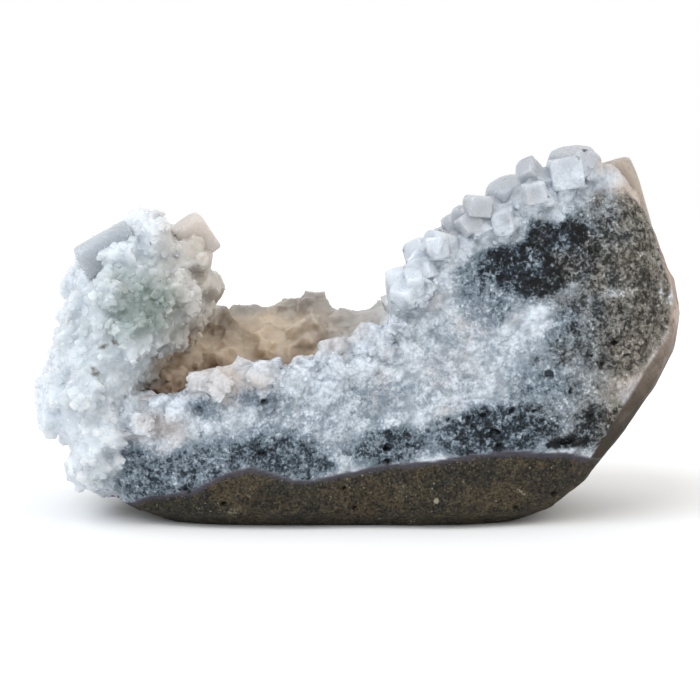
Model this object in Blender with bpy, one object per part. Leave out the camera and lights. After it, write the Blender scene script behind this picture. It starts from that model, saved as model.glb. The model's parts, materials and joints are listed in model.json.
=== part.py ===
"""Apophyllite: a broken piece of a crystal-lined hollow in basalt.

A foot of dark basalt carries a layer of granular, speckled quartz. The layer holds an open
hollow between a tall wedge on the right and a tower of crystals on the left. Crystals line
the hollow and cover the wedge's sloping roof.

X runs along the specimen, Y from its broken front face to its back, and Z is up. The origin
is on the flat underside. Sizes are in millimetres, and MM turns them into metres.
"""

import functools
import math
import random
from dataclasses import dataclass

import bmesh
import bpy
from mathutils import Matrix, Vector, noise

MM = 0.001
GAP = 0.3
UP = Vector((0.0, 0.0, 1.0))

# Height, left end, right end, front face and back face of the rock's outer wall.
WALL_SECTIONS = (
    (0.0, -47.0, 42.5, -26.0, 22.0),
    (2.5, -54.0, 48.0, -30.5, 26.0),
    (7.0, -60.0, 54.0, -32.5, 30.0),
    (14.0, -63.0, 60.5, -33.0, 32.0),
    (24.0, -63.0, 68.5, -33.0, 33.0),
    (36.0, -61.0, 75.5, -32.5, 33.0),
    (47.0, -58.0, 79.5, -32.0, 32.0),
    (58.0, -58.0, 78.0, -31.5, 30.0),
    (72.0, -58.0, 74.0, -30.5, 26.0),
    (90.0, -58.0, 67.5, -28.0, 20.0),
)
WALL_STEPS = 42
WALL_LEVELS = 11
WALL_LEVEL_SPREAD = 1.3
FRONT_SQUARENESS = 4.6
BACK_SQUARENESS = 2.7
FRONT_FACE = -33.0
BACK_FACE = 33.0
# Size and depth of each scale of the broken surface's unevenness.
ROUGHNESS = ((22.0, 1.5), (8.0, 0.7))

# The wavy seam on top of the basalt, as height along the front and along the back.
SEAM_FRONT = (
    (-62.0, 5.0),
    (-50.0, 7.6),
    (-41.0, 8.8),
    (-33.0, 12.4),
    (-22.0, 16.0),
    (-11.0, 12.1),
    (-1.0, 13.4),
    (13.0, 16.2),
    (36.0, 18.0),
    (50.0, 17.2),
    (57.0, 21.0),
    (62.0, 31.0),
    (67.0, 42.0),
    (80.0, 48.0),
)
SEAM_BACK = (
    (-62.0, 16.0),
    (-42.0, 23.0),
    (-22.0, 19.5),
    (0.0, 25.0),
    (22.0, 23.0),
    (42.0, 30.0),
    (60.0, 37.0),
    (74.0, 44.0),
)

# Gas holes in the broken front face, as place along, height, width and height of the hole.
PITS = (
    (45.9, 37.0, 2.8, 2.6),
    (33.2, 23.4, 3.8, 2.4),
    (27.2, 27.2, 1.8, 2.0),
    (61.0, 44.2, 1.8, 1.8),
    (50.0, 20.8, 5.6, 2.4),
    (8.0, 20.2, 3.0, 2.4),
    (-21.0, 30.8, 4.0, 2.8),
    (-21.0, 18.6, 3.4, 2.0),
    (-39.4, 10.6, 3.4, 1.8),
    (-36.0, 28.6, 3.6, 2.6),
)
PIT_DEPTH = 3.2

# The top of the speckled layer, under the crystals, along the front and along the back.
LAYER_FRONT = (
    (-62.0, 21.0),
    (-52.0, 24.0),
    (-44.0, 25.5),
    (-38.0, 30.0),
    (-20.0, 34.0),
    (-12.0, 35.0),
    (0.0, 38.5),
    (8.0, 42.0),
    (14.0, 53.0),
    (21.0, 62.0),
    (31.0, 69.5),
    (42.0, 76.5),
    (54.0, 82.0),
    (60.0, 82.5),
    (66.0, 79.0),
    (70.0, 70.0),
    (75.0, 57.0),
    (80.0, 49.0),
)
LAYER_BACK = (
    (-62.0, 36.0),
    (-46.0, 42.0),
    (-26.0, 43.5),
    (-13.0, 46.0),
    (-3.0, 42.0),
    (8.0, 44.0),
    (20.0, 52.0),
    (36.0, 61.0),
    (52.0, 65.0),
    (66.0, 60.0),
    (80.0, 48.0),
)
LAYER_LUMP_SIZE = 9.0
LAYER_LUMP_DEPTH = 0.9

# The hollow, as its middle, half length and half depth, and how far it sinks each surface.
HOLLOW = Vector((-20.0, 1.0))
HOLLOW_REACH = Vector((39.0, 28.0))
HOLLOW_DEPTH = 20.0
HOLLOW_SEAM_DEPTH = 9.0
HOLLOW_STEEPNESS = 1.6

# The crust that the crystals stand in. The hollow's crust gives way to the wedge's at
# CREST_START, which moves along by CREST_LEAN for each millimetre towards the back.
HOLLOW_CRUST = 3.8
CREST_CRUST = 4.6
CRUST_CHANGE = 16.0
CREST_START = 11.0
CREST_LEAN = 0.2
CREST_MARGIN = 2.5
CREST_END = 64.0
HOLLOW_START = -52.0
CRUST_INSET = 3.0

# Reach and spacing of the grid that a contact surface is drawn on, and a depth below it all.
GRID_MIDDLE = Vector((5.0, 0.0))
GRID_STEPS = (26, 13)
GRID_SPACING = 7.0
GRID_FLOOR = -20.0

# Height, left, right, front and back of the crystal tower's rounded body.
TOWER_SECTIONS = (
    (5.0, -63.0, -54.0, -16.0, 2.0),
    (9.0, -67.0, -50.0, -26.0, 13.0),
    (16.0, -69.5, -49.0, -29.5, 20.0),
    (24.0, -73.0, -49.5, -31.0, 23.5),
    (32.0, -75.0, -50.0, -31.0, 24.5),
    (40.0, -73.0, -45.0, -30.0, 24.0),
    (48.0, -70.5, -35.5, -28.5, 22.0),
    (56.0, -69.0, -35.0, -26.5, 19.0),
    (63.0, -67.5, -36.0, -22.5, 14.0),
    (69.0, -61.0, -39.0, -14.0, 6.0),
)
TOWER_STEPS = 16
TOWER_SQUARENESS = 2.3
TOWER_TIP = 1.5
# Rows of crystals up the tower, how many stand in a low row and in a row near the top, and
# how far right and how low the rock hides them.
TOWER_ROWS = 6
TOWER_ROW_CRYSTALS = (9, 6)
TOWER_TOP_ROWS = 62.0
TOWER_HIDDEN = (-53.0, 41.0)

# Share of a crystal's width that its corners are cut by, its length for its width, and the
# greatest lean from the surface that it stands on.
CORNER = 0.32
SLENDERNESS = 1.3
STRETCH = (0.8, 1.25)
LEAN = 0.47
RIM_TRIES = 720

# Large crystals that stand out, as their middle, width, depth, length and turn in degrees.
TOWER_CRYSTALS = (
    ((-58.4, -16.0, 65.2), 6.4, 8.0, 12.5, (0.0, 61.0, 8.0)),
    ((-38.4, -9.0, 67.8), 8.6, 9.4, 10.6, (6.0, -34.0, 12.0)),
    ((-46.5, -20.0, 68.0), 6.0, 6.0, 8.0, (14.0, -12.0, 30.0)),
    ((-71.0, -14.0, 28.0), 9.0, 9.0, 10.0, (20.0, -58.0, 10.0)),
    ((-68.5, -6.0, 40.0), 8.0, 8.0, 10.0, (8.0, -66.0, 24.0)),
    ((-52.0, -2.0, 70.0), 8.0, 7.0, 6.0, (8.0, -6.0, 40.0)),
)
HOLLOW_CRYSTALS = (
    ((-27.4, -27.5, 35.4), 6.2, 9.0, 22.0, (4.0, 80.0, 0.0)),
    ((-11.5, -27.0, 36.6), 5.6, 6.4, 7.0, (10.0, 20.0, 35.0)),
    ((-4.2, -26.5, 41.0), 6.6, 7.0, 8.0, (-8.0, -14.0, 20.0)),
    ((4.6, -26.0, 43.8), 8.0, 7.4, 8.6, (6.0, 12.0, 52.0)),
    ((-45.5, -27.0, 28.4), 5.4, 6.0, 6.0, (12.0, -22.0, 15.0)),
    ((-13.4, 27.5, 46.0), 6.6, 6.4, 8.0, (-10.0, 8.0, 30.0)),
)
CREST_CRYSTALS = (
    ((12.6, -22.0, 54.0), 6.8, 8.0, 14.0, (0.0, -10.0, 12.0)),
    ((26.5, -16.0, 70.6), 7.4, 7.8, 8.0, (-6.0, -30.0, 8.0)),
    ((37.5, -17.0, 77.6), 7.8, 8.0, 8.0, (10.0, -26.0, 28.0)),
    ((53.0, -14.0, 83.4), 8.6, 9.0, 11.0, (4.0, -9.0, 30.0)),
    ((64.6, -16.0, 77.0), 7.6, 9.4, 19.0, (-4.0, -16.0, 8.0)),
)


@dataclass(frozen=True)
class Growth:
    """How a group of small crystals grew: its chance, spacing, sizes and depth in its bed."""

    seed: int
    spacing: tuple
    sizes: tuple
    sink: float


TOWER_GROWTH = Growth(11, (0.1, 0.9), (5.0, 8.8), 0.35)
CREST_GROWTH = Growth(5, (12.4, 12.4), (5.4, 9.0), 0.28)
CREST_RIM_GROWTH = Growth(9, (5.0, 11.0), (4.0, 8.4), 0.3)
HOLLOW_GROWTH = Growth(3, (12.4, 12.4), (4.2, 7.4), 0.28)
HOLLOW_RIM_GROWTH = Growth(4, (6.0, 12.0), (3.6, 7.4), 0.3)


def between(table, at, column=1):
    """Smooth value of a table's column, held level beyond its ends."""
    if at <= table[0][0]:
        return table[0][column]
    if at >= table[-1][0]:
        return table[-1][column]
    index = next(i for i, row in enumerate(table) if row[0] > at) - 1
    low, high = table[index], table[index + 1]
    before = table[max(index - 1, 0)]
    after = table[min(index + 2, len(table) - 1)]
    step = high[0] - low[0]
    share = (at - low[0]) / step
    leave = (high[column] - before[column]) / (high[0] - before[0]) * step
    arrive = (after[column] - low[column]) / (after[0] - low[0]) * step
    rise = high[column] - low[column]
    return (
        low[column]
        + share * leave
        + share**2 * (3 * rise - 2 * leave - arrive)
        + share**3 * (leave + arrive - 2 * rise)
    )


def clamped(value):
    """The value, held between 0 and 1."""
    return min(max(value, 0.0), 1.0)


def rough(point):
    """Broken-stone unevenness at a point, the same for every piece that passes there."""
    return sum(depth * noise.noise(point / size) for size, depth in ROUGHNESS)


def section_point(sections, angle, height, squareness, grow):
    """Point of a rounded section's edge, pushed out by its roughness and by grow."""
    left, right, front, back = (between(sections, height, c) for c in (1, 2, 3, 4))
    middle = Vector(((left + right) / 2, (front + back) / 2, height))
    cosine, sine = math.cos(angle), math.sin(angle)
    power = squareness[0] if sine < 0 else squareness[1]
    reach = (abs(cosine) ** power + abs(sine) ** power) ** (-1 / power)
    across = Vector(((right - left) / 2 * reach * cosine, (back - front) / 2 * reach * sine, 0))
    return middle + across + across.normalized() * (rough(middle + across) + grow)


def wall_point(angle, height, grow=0.0):
    """Point of the rock's outer wall."""
    squareness = (FRONT_SQUARENESS, BACK_SQUARENESS)
    return section_point(WALL_SECTIONS, angle, height, squareness, grow)


def tower_point(angle, height, grow=0.0):
    """Point on the crystal tower's rounded body."""
    squareness = (TOWER_SQUARENESS, TOWER_SQUARENESS)
    return section_point(TOWER_SECTIONS, angle, height, squareness, grow)


@functools.cache
def wall_angles():
    """Angles that space points evenly round the wall."""
    tries = WALL_STEPS * 24
    fine = [math.tau * i / tries for i in range(tries + 1)]
    points = [wall_point(angle, WALL_SECTIONS[3][0]) for angle in fine]
    lengths = [0.0]
    for start, end in zip(points, points[1:]):
        lengths.append(lengths[-1] + (end - start).length)
    angles = []
    for step in range(WALL_STEPS):
        wanted = lengths[-1] * step / WALL_STEPS
        index = next(i for i, length in enumerate(lengths) if length >= wanted)
        angles.append(fine[index])
    return tuple(angles)


def front_to_back(x, y, front, back):
    """Height of a contact surface that runs from its front profile to its back one."""
    depth = clamped((y - FRONT_FACE) / (BACK_FACE - FRONT_FACE))
    share = depth * depth * (3 - 2 * depth)
    return between(front, x) * (1 - share) + between(back, x) * share


def hollow_share(x, y):
    """How much of the hollow's depth there is at a place, from 0 at its edge to 1."""
    away = ((x - HOLLOW.x) / HOLLOW_REACH.x) ** 2 + ((y - HOLLOW.y) / HOLLOW_REACH.y) ** 2
    return max(1 - away, 0) ** HOLLOW_STEEPNESS


def seam_height(x, y):
    """Top of the basalt."""
    return front_to_back(x, y, SEAM_FRONT, SEAM_BACK) - HOLLOW_SEAM_DEPTH * hollow_share(x, y)


def layer_height(x, y):
    """Top of the speckled layer, under the crystals."""
    lumps = LAYER_LUMP_DEPTH * noise.noise(Vector((x, y, 0.0)) / LAYER_LUMP_SIZE)
    rim = front_to_back(x, y, LAYER_FRONT, LAYER_BACK)
    return rim - HOLLOW_DEPTH * hollow_share(x, y) + lumps


def crust_height(x, y):
    """Top of the crust that the crystals stand in. It is thicker on the wedge."""
    share = clamped((x - CREST_START) / CRUST_CHANGE + 0.5)
    return layer_height(x, y) + HOLLOW_CRUST + (CREST_CRUST - HOLLOW_CRUST) * share


def halved(low, high, is_low):
    """Place between two ends where is_low(place) turns false."""
    for _ in range(30):
        middle = (low + high) / 2
        if is_low(middle):
            low = middle
        else:
            high = middle
    return low


def front_point(x, height):
    """Point of the outer wall's front face at a place along it."""
    angle = halved(math.pi, math.tau, lambda angle: wall_point(angle, height).x < x)
    return wall_point(angle, height)


def rim_point(angle, surface):
    """Where the outer wall meets a contact surface."""

    def is_below(height):
        point = wall_point(angle, height)
        return height < surface(point.x, point.y)

    return wall_point(angle, halved(WALL_SECTIONS[0][0], WALL_SECTIONS[-1][0], is_below))


def split_quads(bm):
    """Halves every quad along the same diagonal, so that grown copies match."""
    quads = [face for face in bm.faces if len(face.verts) == 4]
    bmesh.ops.triangulate(bm, faces=quads, quad_method="FIXED")


def loft(bm, rings, start=None, end=None):
    """Skins a stack of rings. An end is closed by a point, or by one face where it is None."""
    rows = [[bm.verts.new(point) for point in ring] for ring in rings]
    for lower, upper in zip(rows, rows[1:]):
        for a, b, c, d in zip(lower, lower[1:] + lower[:1], upper[1:] + upper[:1], upper):
            bm.faces.new((a, b, c, d))
    for row, tip in ((rows[0][::-1], start), (rows[-1], end)):
        if tip is None:
            bm.faces.new(row)
            continue
        point = bm.verts.new(tip)
        for a, b in zip(row, row[1:] + row[:1]):
            bm.faces.new((a, b, point))
    split_quads(bm)


def wall_body(grow=0.0):
    """The rock's outer wall as a closed column, from its underside to above its top."""
    bottom, top = WALL_SECTIONS[0][0], WALL_SECTIONS[-1][0]
    rings = []
    for level in range(WALL_LEVELS + 1):
        height = bottom + (top - bottom) * (level / WALL_LEVELS) ** WALL_LEVEL_SPREAD
        base = Vector((0.0, 0.0, -grow if level == 0 else 0.0))
        rings.append([wall_point(angle, height, grow) + base for angle in wall_angles()])
    bm = bmesh.new()
    loft(bm, rings)
    return bm


def block_below(surface, lift=0.0):
    """A block that reaches from under the rock up to a contact surface."""
    bm = bmesh.new()
    columns, rows = GRID_STEPS
    bmesh.ops.create_grid(bm, x_segments=columns, y_segments=rows, size=0.5)
    for vert in bm.verts:
        x = GRID_MIDDLE.x + vert.co.x * columns * GRID_SPACING
        y = GRID_MIDDLE.y + vert.co.y * rows * GRID_SPACING
        vert.co = (x, y, surface(x, y) + lift)
    split_quads(bm)
    roof = bm.faces[:]
    made = bmesh.ops.extrude_face_region(bm, geom=roof, use_keep_orig=True)["geom"]
    for vert in made:
        if isinstance(vert, bmesh.types.BMVert):
            vert.co.z = GRID_FLOOR
    return bm


def tower_body(grow=0.0):
    """The tower's rounded body, which its crystals stand in."""
    angles = [math.tau * i / TOWER_STEPS for i in range(TOWER_STEPS)]
    rings = []
    for row in TOWER_SECTIONS:
        rings.append([tower_point(angle, row[0], grow) for angle in angles])
    tips = []
    for row, tip in ((TOWER_SECTIONS[0], -TOWER_TIP - grow), (TOWER_SECTIONS[-1], TOWER_TIP + grow)):
        tips.append(Vector(((row[1] + row[2]) / 2, (row[3] + row[4]) / 2, row[0] + tip)))
    bm = bmesh.new()
    loft(bm, rings, *tips)
    return bm


def crest_zone(grow=0.0):
    """Turned block that holds the wedge's share of the crust."""
    bm = bmesh.new()
    side = 2 * WALL_SECTIONS[-1][0]
    made = bmesh.ops.create_cube(bm, size=side)["verts"]
    bmesh.ops.translate(bm, vec=(side / 2 - grow, 0.0, 0.0), verts=made)
    turn = Matrix.Rotation(-math.atan(CREST_LEAN), 4, "Z")
    place = Matrix.Translation((CREST_START, 0.0, side / 4))
    bmesh.ops.transform(bm, matrix=place @ turn, verts=made)
    return bm


def pit_bodies():
    """The rounded bodies that the gas holes are cut with."""
    bm = bmesh.new()
    for x, height, wide, tall in PITS:
        made = bmesh.ops.create_icosphere(bm, subdivisions=1, radius=0.5)["verts"]
        bmesh.ops.scale(bm, vec=(wide, 2 * PIT_DEPTH, tall), verts=made)
        bmesh.ops.translate(bm, vec=front_point(x, height), verts=made)
    return bm


def crystal(bm, middle, size, turn, grow=0.0, corner=CORNER):
    """A four-sided prism with a flat end, the habit of apophyllite. A corner of 0 isn't cut."""
    made = bmesh.ops.create_cube(bm, size=1.0)["verts"]
    bmesh.ops.scale(bm, vec=size + Vector((2 * grow,) * 3), verts=made)
    verts = set(made)
    if corner > 0.0:
        cut = bmesh.ops.bevel(
            bm,
            geom=[vert for vert in made if vert.co.z > 0],
            offset=corner * min(size.xy),
            affect="VERTICES",
            segments=1,
        )
        verts = {vert for vert in made if vert.is_valid}
        verts |= {vert for face in cut["faces"] for vert in face.verts}
    bmesh.ops.transform(bm, matrix=Matrix.Translation(middle) @ turn, verts=list(verts))


def turned(degrees_xyz):
    """Rotation matrix of a turn about X, then Y, then Z."""
    turn = Matrix.Identity(4)
    for axis, degrees in zip("XYZ", degrees_xyz):
        turn = Matrix.Rotation(math.radians(degrees), 4, axis) @ turn
    return turn


def standing(normal, chance):
    """Rotation that stands a crystal along a normal, leaning and twisted by chance."""
    lean = Vector([chance.uniform(-LEAN, LEAN) for _ in range(3)])
    twist = Matrix.Rotation(chance.uniform(0, math.tau), 4, "Z")
    return UP.rotation_difference(normal + lean).to_matrix().to_4x4() @ twist


def surface_normal(surface, x, y):
    """Upward normal of a height function, over one millimetre."""
    slope_x = surface(x + 0.5, y) - surface(x - 0.5, y)
    slope_y = surface(x, y + 0.5) - surface(x, y - 0.5)
    return Vector((-slope_x, -slope_y, 1.0)).normalized()


def large_crystals(bm, table, grow):
    """The crystals of a table."""
    for middle, width, depth, length, turn in table:
        crystal(bm, Vector(middle), Vector((width, depth, length)), turned(turn), grow)


def small_crystal(bm, chance, growth, place, normal, wanted, grow):
    """A crystal of chance size. One that isn't wanted still draws its share of chance."""
    width = chance.uniform(*growth.sizes)
    size = Vector((width, width * chance.uniform(*STRETCH), width * SLENDERNESS))
    turn = standing(normal, chance)
    corner = chance.choice((0.0, CORNER))
    if wanted:
        crystal(bm, place - normal * growth.sink * width, size, turn, grow, corner)


def crust_crystals(bm, growth, wanted, grow):
    """Small crystals over the crust, wherever wanted(x, y) says."""
    chance = random.Random(growth.seed)
    spacing = growth.spacing[0]
    x = HOLLOW_START
    while x < CREST_END:
        y = FRONT_FACE
        while y < BACK_FACE:
            spot = [at + chance.uniform(-0.4, 0.4) * spacing for at in (x, y)]
            normal = surface_normal(layer_height, *spot)
            inside = wanted(*spot) and inside_wall(*spot)
            place = Vector((*spot, crust_height(*spot)))
            small_crystal(bm, chance, growth, place, normal, inside, grow)
            y += spacing
        x += spacing


def rim_crystals(bm, growth, wanted, grow):
    """Crystals that stand out from the edge of the crust, all round the rock."""
    chance = random.Random(growth.seed)
    wait, last = 0.0, None
    for step in range(RIM_TRIES):
        point = rim_point(math.tau * step / RIM_TRIES, crust_height)
        wait -= (point - last).length if last else 0.0
        last = point
        if wait > 0.0:
            continue
        wait = chance.uniform(*growth.spacing)
        out = Vector((0.2 * point.x, point.y, 0.0)).normalized()
        normal = (out + UP * chance.uniform(0.2, 1.2)).normalized()
        crust = crust_height(*point.xy) - layer_height(*point.xy)
        place = point - UP * crust * chance.uniform(0.0, 0.8)
        small_crystal(bm, chance, growth, place, normal, wanted(*point.xy), grow)


def tower_crystals(bm, growth, grow):
    """Crystals over the tower's outside, left out where they would be in the rock."""
    chance = random.Random(growth.seed)
    low, high = TOWER_SECTIONS[1][0], TOWER_SECTIONS[-1][0]
    row_height = (high - low) / TOWER_ROWS
    for row in range(TOWER_ROWS):
        middle = low + row_height * (row + 0.5)
        count = TOWER_ROW_CRYSTALS[middle > TOWER_TOP_ROWS]
        for i in range(count):
            angle = math.tau * (i + chance.uniform(*growth.spacing)) / count
            height = middle + chance.uniform(-0.3, 0.3) * row_height
            point = tower_point(angle, height)
            side = tower_point(angle + 0.05, height) - tower_point(angle - 0.05, height)
            rise = tower_point(angle, height + 0.5) - tower_point(angle, height - 0.5)
            normal = side.cross(rise).normalized()
            hidden = point.x > TOWER_HIDDEN[0] and height < TOWER_HIDDEN[1]
            small_crystal(bm, chance, growth, point, normal, not hidden, grow)


def inside_wall(x, y):
    """Whether a place on the crust is well within the outer wall."""
    height = crust_height(x, y)
    left, right, front, back = (between(WALL_SECTIONS, height, c) for c in (1, 2, 3, 4))
    across = (x - (left + right) / 2) / ((right - left) / 2 - CRUST_INSET)
    along = (y - (front + back) / 2) / ((back - front) / 2 - CRUST_INSET)
    power = FRONT_SQUARENESS if along < 0 else BACK_SQUARENESS
    return abs(across) ** power + abs(along) ** power < 1


def on_crest(x, y):
    """Whether a crystal's foot is on the wedge's roof."""
    return CREST_START + CREST_LEAN * y + CREST_MARGIN < x < CREST_END


def in_hollow(x, y):
    """Whether a crystal's foot is in the hollow or on its rim."""
    return HOLLOW_START < x < CREST_START + CREST_LEAN * y - CREST_MARGIN


def tower_points(grow=0.0):
    """All the tower's crystals."""
    bm = bmesh.new()
    large_crystals(bm, TOWER_CRYSTALS, grow)
    tower_crystals(bm, TOWER_GROWTH, grow)
    return bm


def crest_points(grow=0.0):
    """All the wedge's crystals."""
    bm = bmesh.new()
    large_crystals(bm, CREST_CRYSTALS, grow)
    crust_crystals(bm, CREST_GROWTH, on_crest, grow)
    rim_crystals(bm, CREST_RIM_GROWTH, on_crest, grow)
    return bm


def hollow_points():
    """All the hollow's crystals."""
    bm = bmesh.new()
    large_crystals(bm, HOLLOW_CRYSTALS, 0.0)
    crust_crystals(bm, HOLLOW_GROWTH, in_hollow, 0.0)
    rim_crystals(bm, HOLLOW_RIM_GROWTH, in_hollow, 0.0)
    return bm


def placed(name, bm, collection):
    """Turns a millimetre mesh into an object in metres."""
    bmesh.ops.recalc_face_normals(bm, faces=bm.faces)
    bmesh.ops.scale(bm, vec=(MM, MM, MM), verts=bm.verts)
    mesh = bpy.data.meshes.new(name)
    bm.to_mesh(mesh)
    bm.free()
    obj = bpy.data.objects.new(name, mesh)
    collection.objects.link(obj)
    return obj


def cutter(name, bm):
    """A helper body that only shapes others."""
    obj = placed(name, bm, bpy.data.collections["cutters"])
    obj.hide_render = True
    obj.display_type = "WIRE"
    return obj


def combine(obj, operation, other, overlapping=False):
    """Adds a Boolean. Overlapping says that the other body's own pieces overlap."""
    boolean = obj.modifiers.new(f"{operation.lower()} {other.name}", "BOOLEAN")
    boolean.operation = operation
    boolean.solver = "EXACT"
    boolean.use_self = overlapping
    boolean.object = other


def keep_largest(bm):
    """Removes the chips and folded flaps that a cut has parted from the main body."""
    left, pieces = set(bm.faces), []
    while left:
        piece, edge = set(), {left.pop()}
        while edge:
            face = edge.pop()
            piece.add(face)
            sides = [side for side in face.edges if len(side.link_faces) == 2]
            near = {other for side in sides for other in side.link_faces} & left
            left -= near
            edge |= near
        pieces.append(piece)
    keep = max(pieces, key=len)
    chips = [face for piece in pieces if piece is not keep for face in piece]
    bmesh.ops.delete(bm, geom=chips, context="FACES")


def settle(obj):
    """Applies the Booleans, tidies what they leave and drops loose chips."""
    bpy.context.view_layer.update()
    graph = bpy.context.evaluated_depsgraph_get()
    mesh = bpy.data.meshes.new_from_object(obj.evaluated_get(graph))
    bm = bmesh.new()
    bm.from_mesh(mesh)
    bmesh.ops.remove_doubles(bm, verts=bm.verts, dist=0.001 * MM)
    bmesh.ops.dissolve_limit(bm, angle_limit=math.radians(0.2), verts=bm.verts, edges=bm.edges)
    bmesh.ops.triangulate(bm, faces=bm.faces)
    keep_largest(bm)
    bm.to_mesh(mesh)
    bm.free()
    obj.modifiers.clear()
    obj.data = mesh
    mesh.name = obj.name
    return obj


def finish(obj, colour, roughness, see_through=0.0):
    """Gives an object its own material."""
    material = bpy.data.materials.new(obj.name)
    material.use_nodes = True
    shader = material.node_tree.nodes["Principled BSDF"]
    shader.inputs["Base Color"].default_value = (*colour, 1.0)
    shader.inputs["Roughness"].default_value = roughness
    shader.inputs["Metallic"].default_value = 0.0
    shader.inputs["IOR"].default_value = 1.535
    shader.inputs["Transmission Weight"].default_value = see_through
    obj.data.materials.clear()
    obj.data.materials.append(material)
    obj.data.shade_smooth()
    obj.data.set_sharp_from_angle(angle=math.radians(28))


def make_basalt(specimen):
    """The dark foot, up to the wavy seam."""
    basalt = placed("basalt_matrix", wall_body(), specimen)
    combine(basalt, "INTERSECT", cutter("below_seam", block_below(seam_height)))
    finish(settle(basalt), (0.040, 0.036, 0.026), 0.62)


def make_speckled_layer(specimen):
    """The granular quartz between the seam and the crystals, with its gas holes."""
    speckled = placed("speckled_layer", wall_body(), specimen)
    combine(speckled, "INTERSECT", cutter("below_layer", block_below(layer_height)))
    combine(speckled, "DIFFERENCE", cutter("below_seam_room", block_below(seam_height, GAP)))
    combine(speckled, "DIFFERENCE", cutter("pits", pit_bodies()), True)
    finish(settle(speckled), (0.33, 0.35, 0.37), 0.70)


def make_rock_room():
    """Room for the rock below the crystals, cut out of every group of them."""
    room = cutter("rock_room", wall_body(GAP))
    combine(room, "INTERSECT", cutter("below_layer_room", block_below(layer_height, GAP)))
    return settle(room)


def make_tower(specimen, rock_room):
    """The crystal tower at the left, and the room that it needs in the hollow's crust."""
    tower = placed("left_crystal_tower", tower_body(), specimen)
    combine(tower, "UNION", cutter("tower_points", tower_points()), True)
    combine(tower, "DIFFERENCE", rock_room)
    finish(settle(tower), (0.68, 0.74, 0.76), 0.22, 0.4)
    room = cutter("tower_room", tower_body(GAP))
    combine(room, "UNION", cutter("tower_room_points", tower_points(GAP)), True)
    return settle(room)


def make_crest(specimen, rock_room):
    """The crust and crystals on the wedge, and the room that they need beside them."""
    crest = placed("crest_crystals", wall_body(), specimen)
    combine(crest, "INTERSECT", cutter("below_crust", block_below(crust_height)))
    combine(crest, "INTERSECT", cutter("crest_zone", crest_zone()))
    combine(crest, "UNION", cutter("crest_points", crest_points()), True)
    combine(crest, "DIFFERENCE", rock_room)
    finish(settle(crest), (0.72, 0.75, 0.78), 0.22, 0.4)
    room = cutter("crest_room", wall_body(GAP))
    combine(room, "INTERSECT", cutter("below_crust_room", block_below(crust_height, GAP)))
    combine(room, "INTERSECT", cutter("crest_room_zone", crest_zone(GAP)))
    combine(room, "UNION", cutter("crest_room_points", crest_points(GAP)), True)
    return settle(room)


def make_hollow_crust(specimen, rooms):
    """The crust and crystals that line the hollow and its rim."""
    hollow = placed("hollow_crust", wall_body(), specimen)
    combine(hollow, "INTERSECT", bpy.data.objects["below_crust"])
    combine(hollow, "UNION", cutter("hollow_points", hollow_points()), True)
    for room in rooms:
        combine(hollow, "DIFFERENCE", room)
    finish(settle(hollow), (0.58, 0.51, 0.43), 0.28, 0.3)


def build():
    """Builds the specimen in an empty scene."""
    for old in list(bpy.data.objects):
        bpy.data.objects.remove(old)
    for name in ("apophyllite", "cutters"):
        collection = bpy.data.collections.new(name)
        bpy.context.scene.collection.children.link(collection)
    specimen = bpy.data.collections["apophyllite"]
    make_basalt(specimen)
    make_speckled_layer(specimen)
    rock_room = make_rock_room()
    tower_room = make_tower(specimen, rock_room)
    crest_room = make_crest(specimen, rock_room)
    make_hollow_crust(specimen, (rock_room, crest_room, tower_room))


build()
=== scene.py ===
"""Looks of the apophyllite specimen: its stone, its speckled quartz and its crystals.

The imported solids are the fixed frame. They are joined into one closed fine mesh, which is
carved with the rock's grain and overgrown with small crystals. Then it is parted again
where the solids meet, and each part gets the finish of its solid. Sizes are in millimetres
in this file, and MM turns them into the frame's metres.
"""

import functools
import json
import logging
import math
import time
from dataclasses import dataclass, field
from enum import Enum
from typing import Callable, Mapping, Sequence, Union

import bmesh
import bpy
import numpy as np
from mathutils import Euler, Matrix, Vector
from mathutils.bvhtree import BVHTree
from mathutils.kdtree import KDTree

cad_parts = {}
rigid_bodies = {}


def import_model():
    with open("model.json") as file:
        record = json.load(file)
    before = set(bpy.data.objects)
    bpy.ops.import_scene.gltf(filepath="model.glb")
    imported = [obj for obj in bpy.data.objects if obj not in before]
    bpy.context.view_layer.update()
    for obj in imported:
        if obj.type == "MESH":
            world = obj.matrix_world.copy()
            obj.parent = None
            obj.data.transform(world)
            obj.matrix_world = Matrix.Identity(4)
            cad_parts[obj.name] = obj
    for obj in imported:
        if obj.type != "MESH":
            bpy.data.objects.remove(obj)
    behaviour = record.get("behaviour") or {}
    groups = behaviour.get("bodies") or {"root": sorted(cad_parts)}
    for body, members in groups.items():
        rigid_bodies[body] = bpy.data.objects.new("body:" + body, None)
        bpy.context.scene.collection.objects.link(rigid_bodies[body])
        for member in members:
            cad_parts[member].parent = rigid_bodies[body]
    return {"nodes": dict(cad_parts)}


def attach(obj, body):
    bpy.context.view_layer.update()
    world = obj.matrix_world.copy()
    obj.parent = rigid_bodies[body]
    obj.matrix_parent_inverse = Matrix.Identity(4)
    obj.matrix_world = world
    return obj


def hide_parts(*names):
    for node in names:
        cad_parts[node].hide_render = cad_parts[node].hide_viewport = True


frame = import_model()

LOG = logging.getLogger("specimen")
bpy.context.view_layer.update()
MM = 0.001
NEIGHBOURS = tuple((x, y, z) for x in (-1, 0, 1) for y in (-1, 0, 1) for z in (-1, 0, 1))
Colour = tuple[float, float, float]
Keep = Callable[[np.ndarray], np.ndarray]
Point = tuple[float, float, float]
Range = tuple[float, float]
Hole = tuple[float, float, float]
Faces = Sequence[Sequence[int]]
SHARP_ANGLE = 38.0


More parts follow.
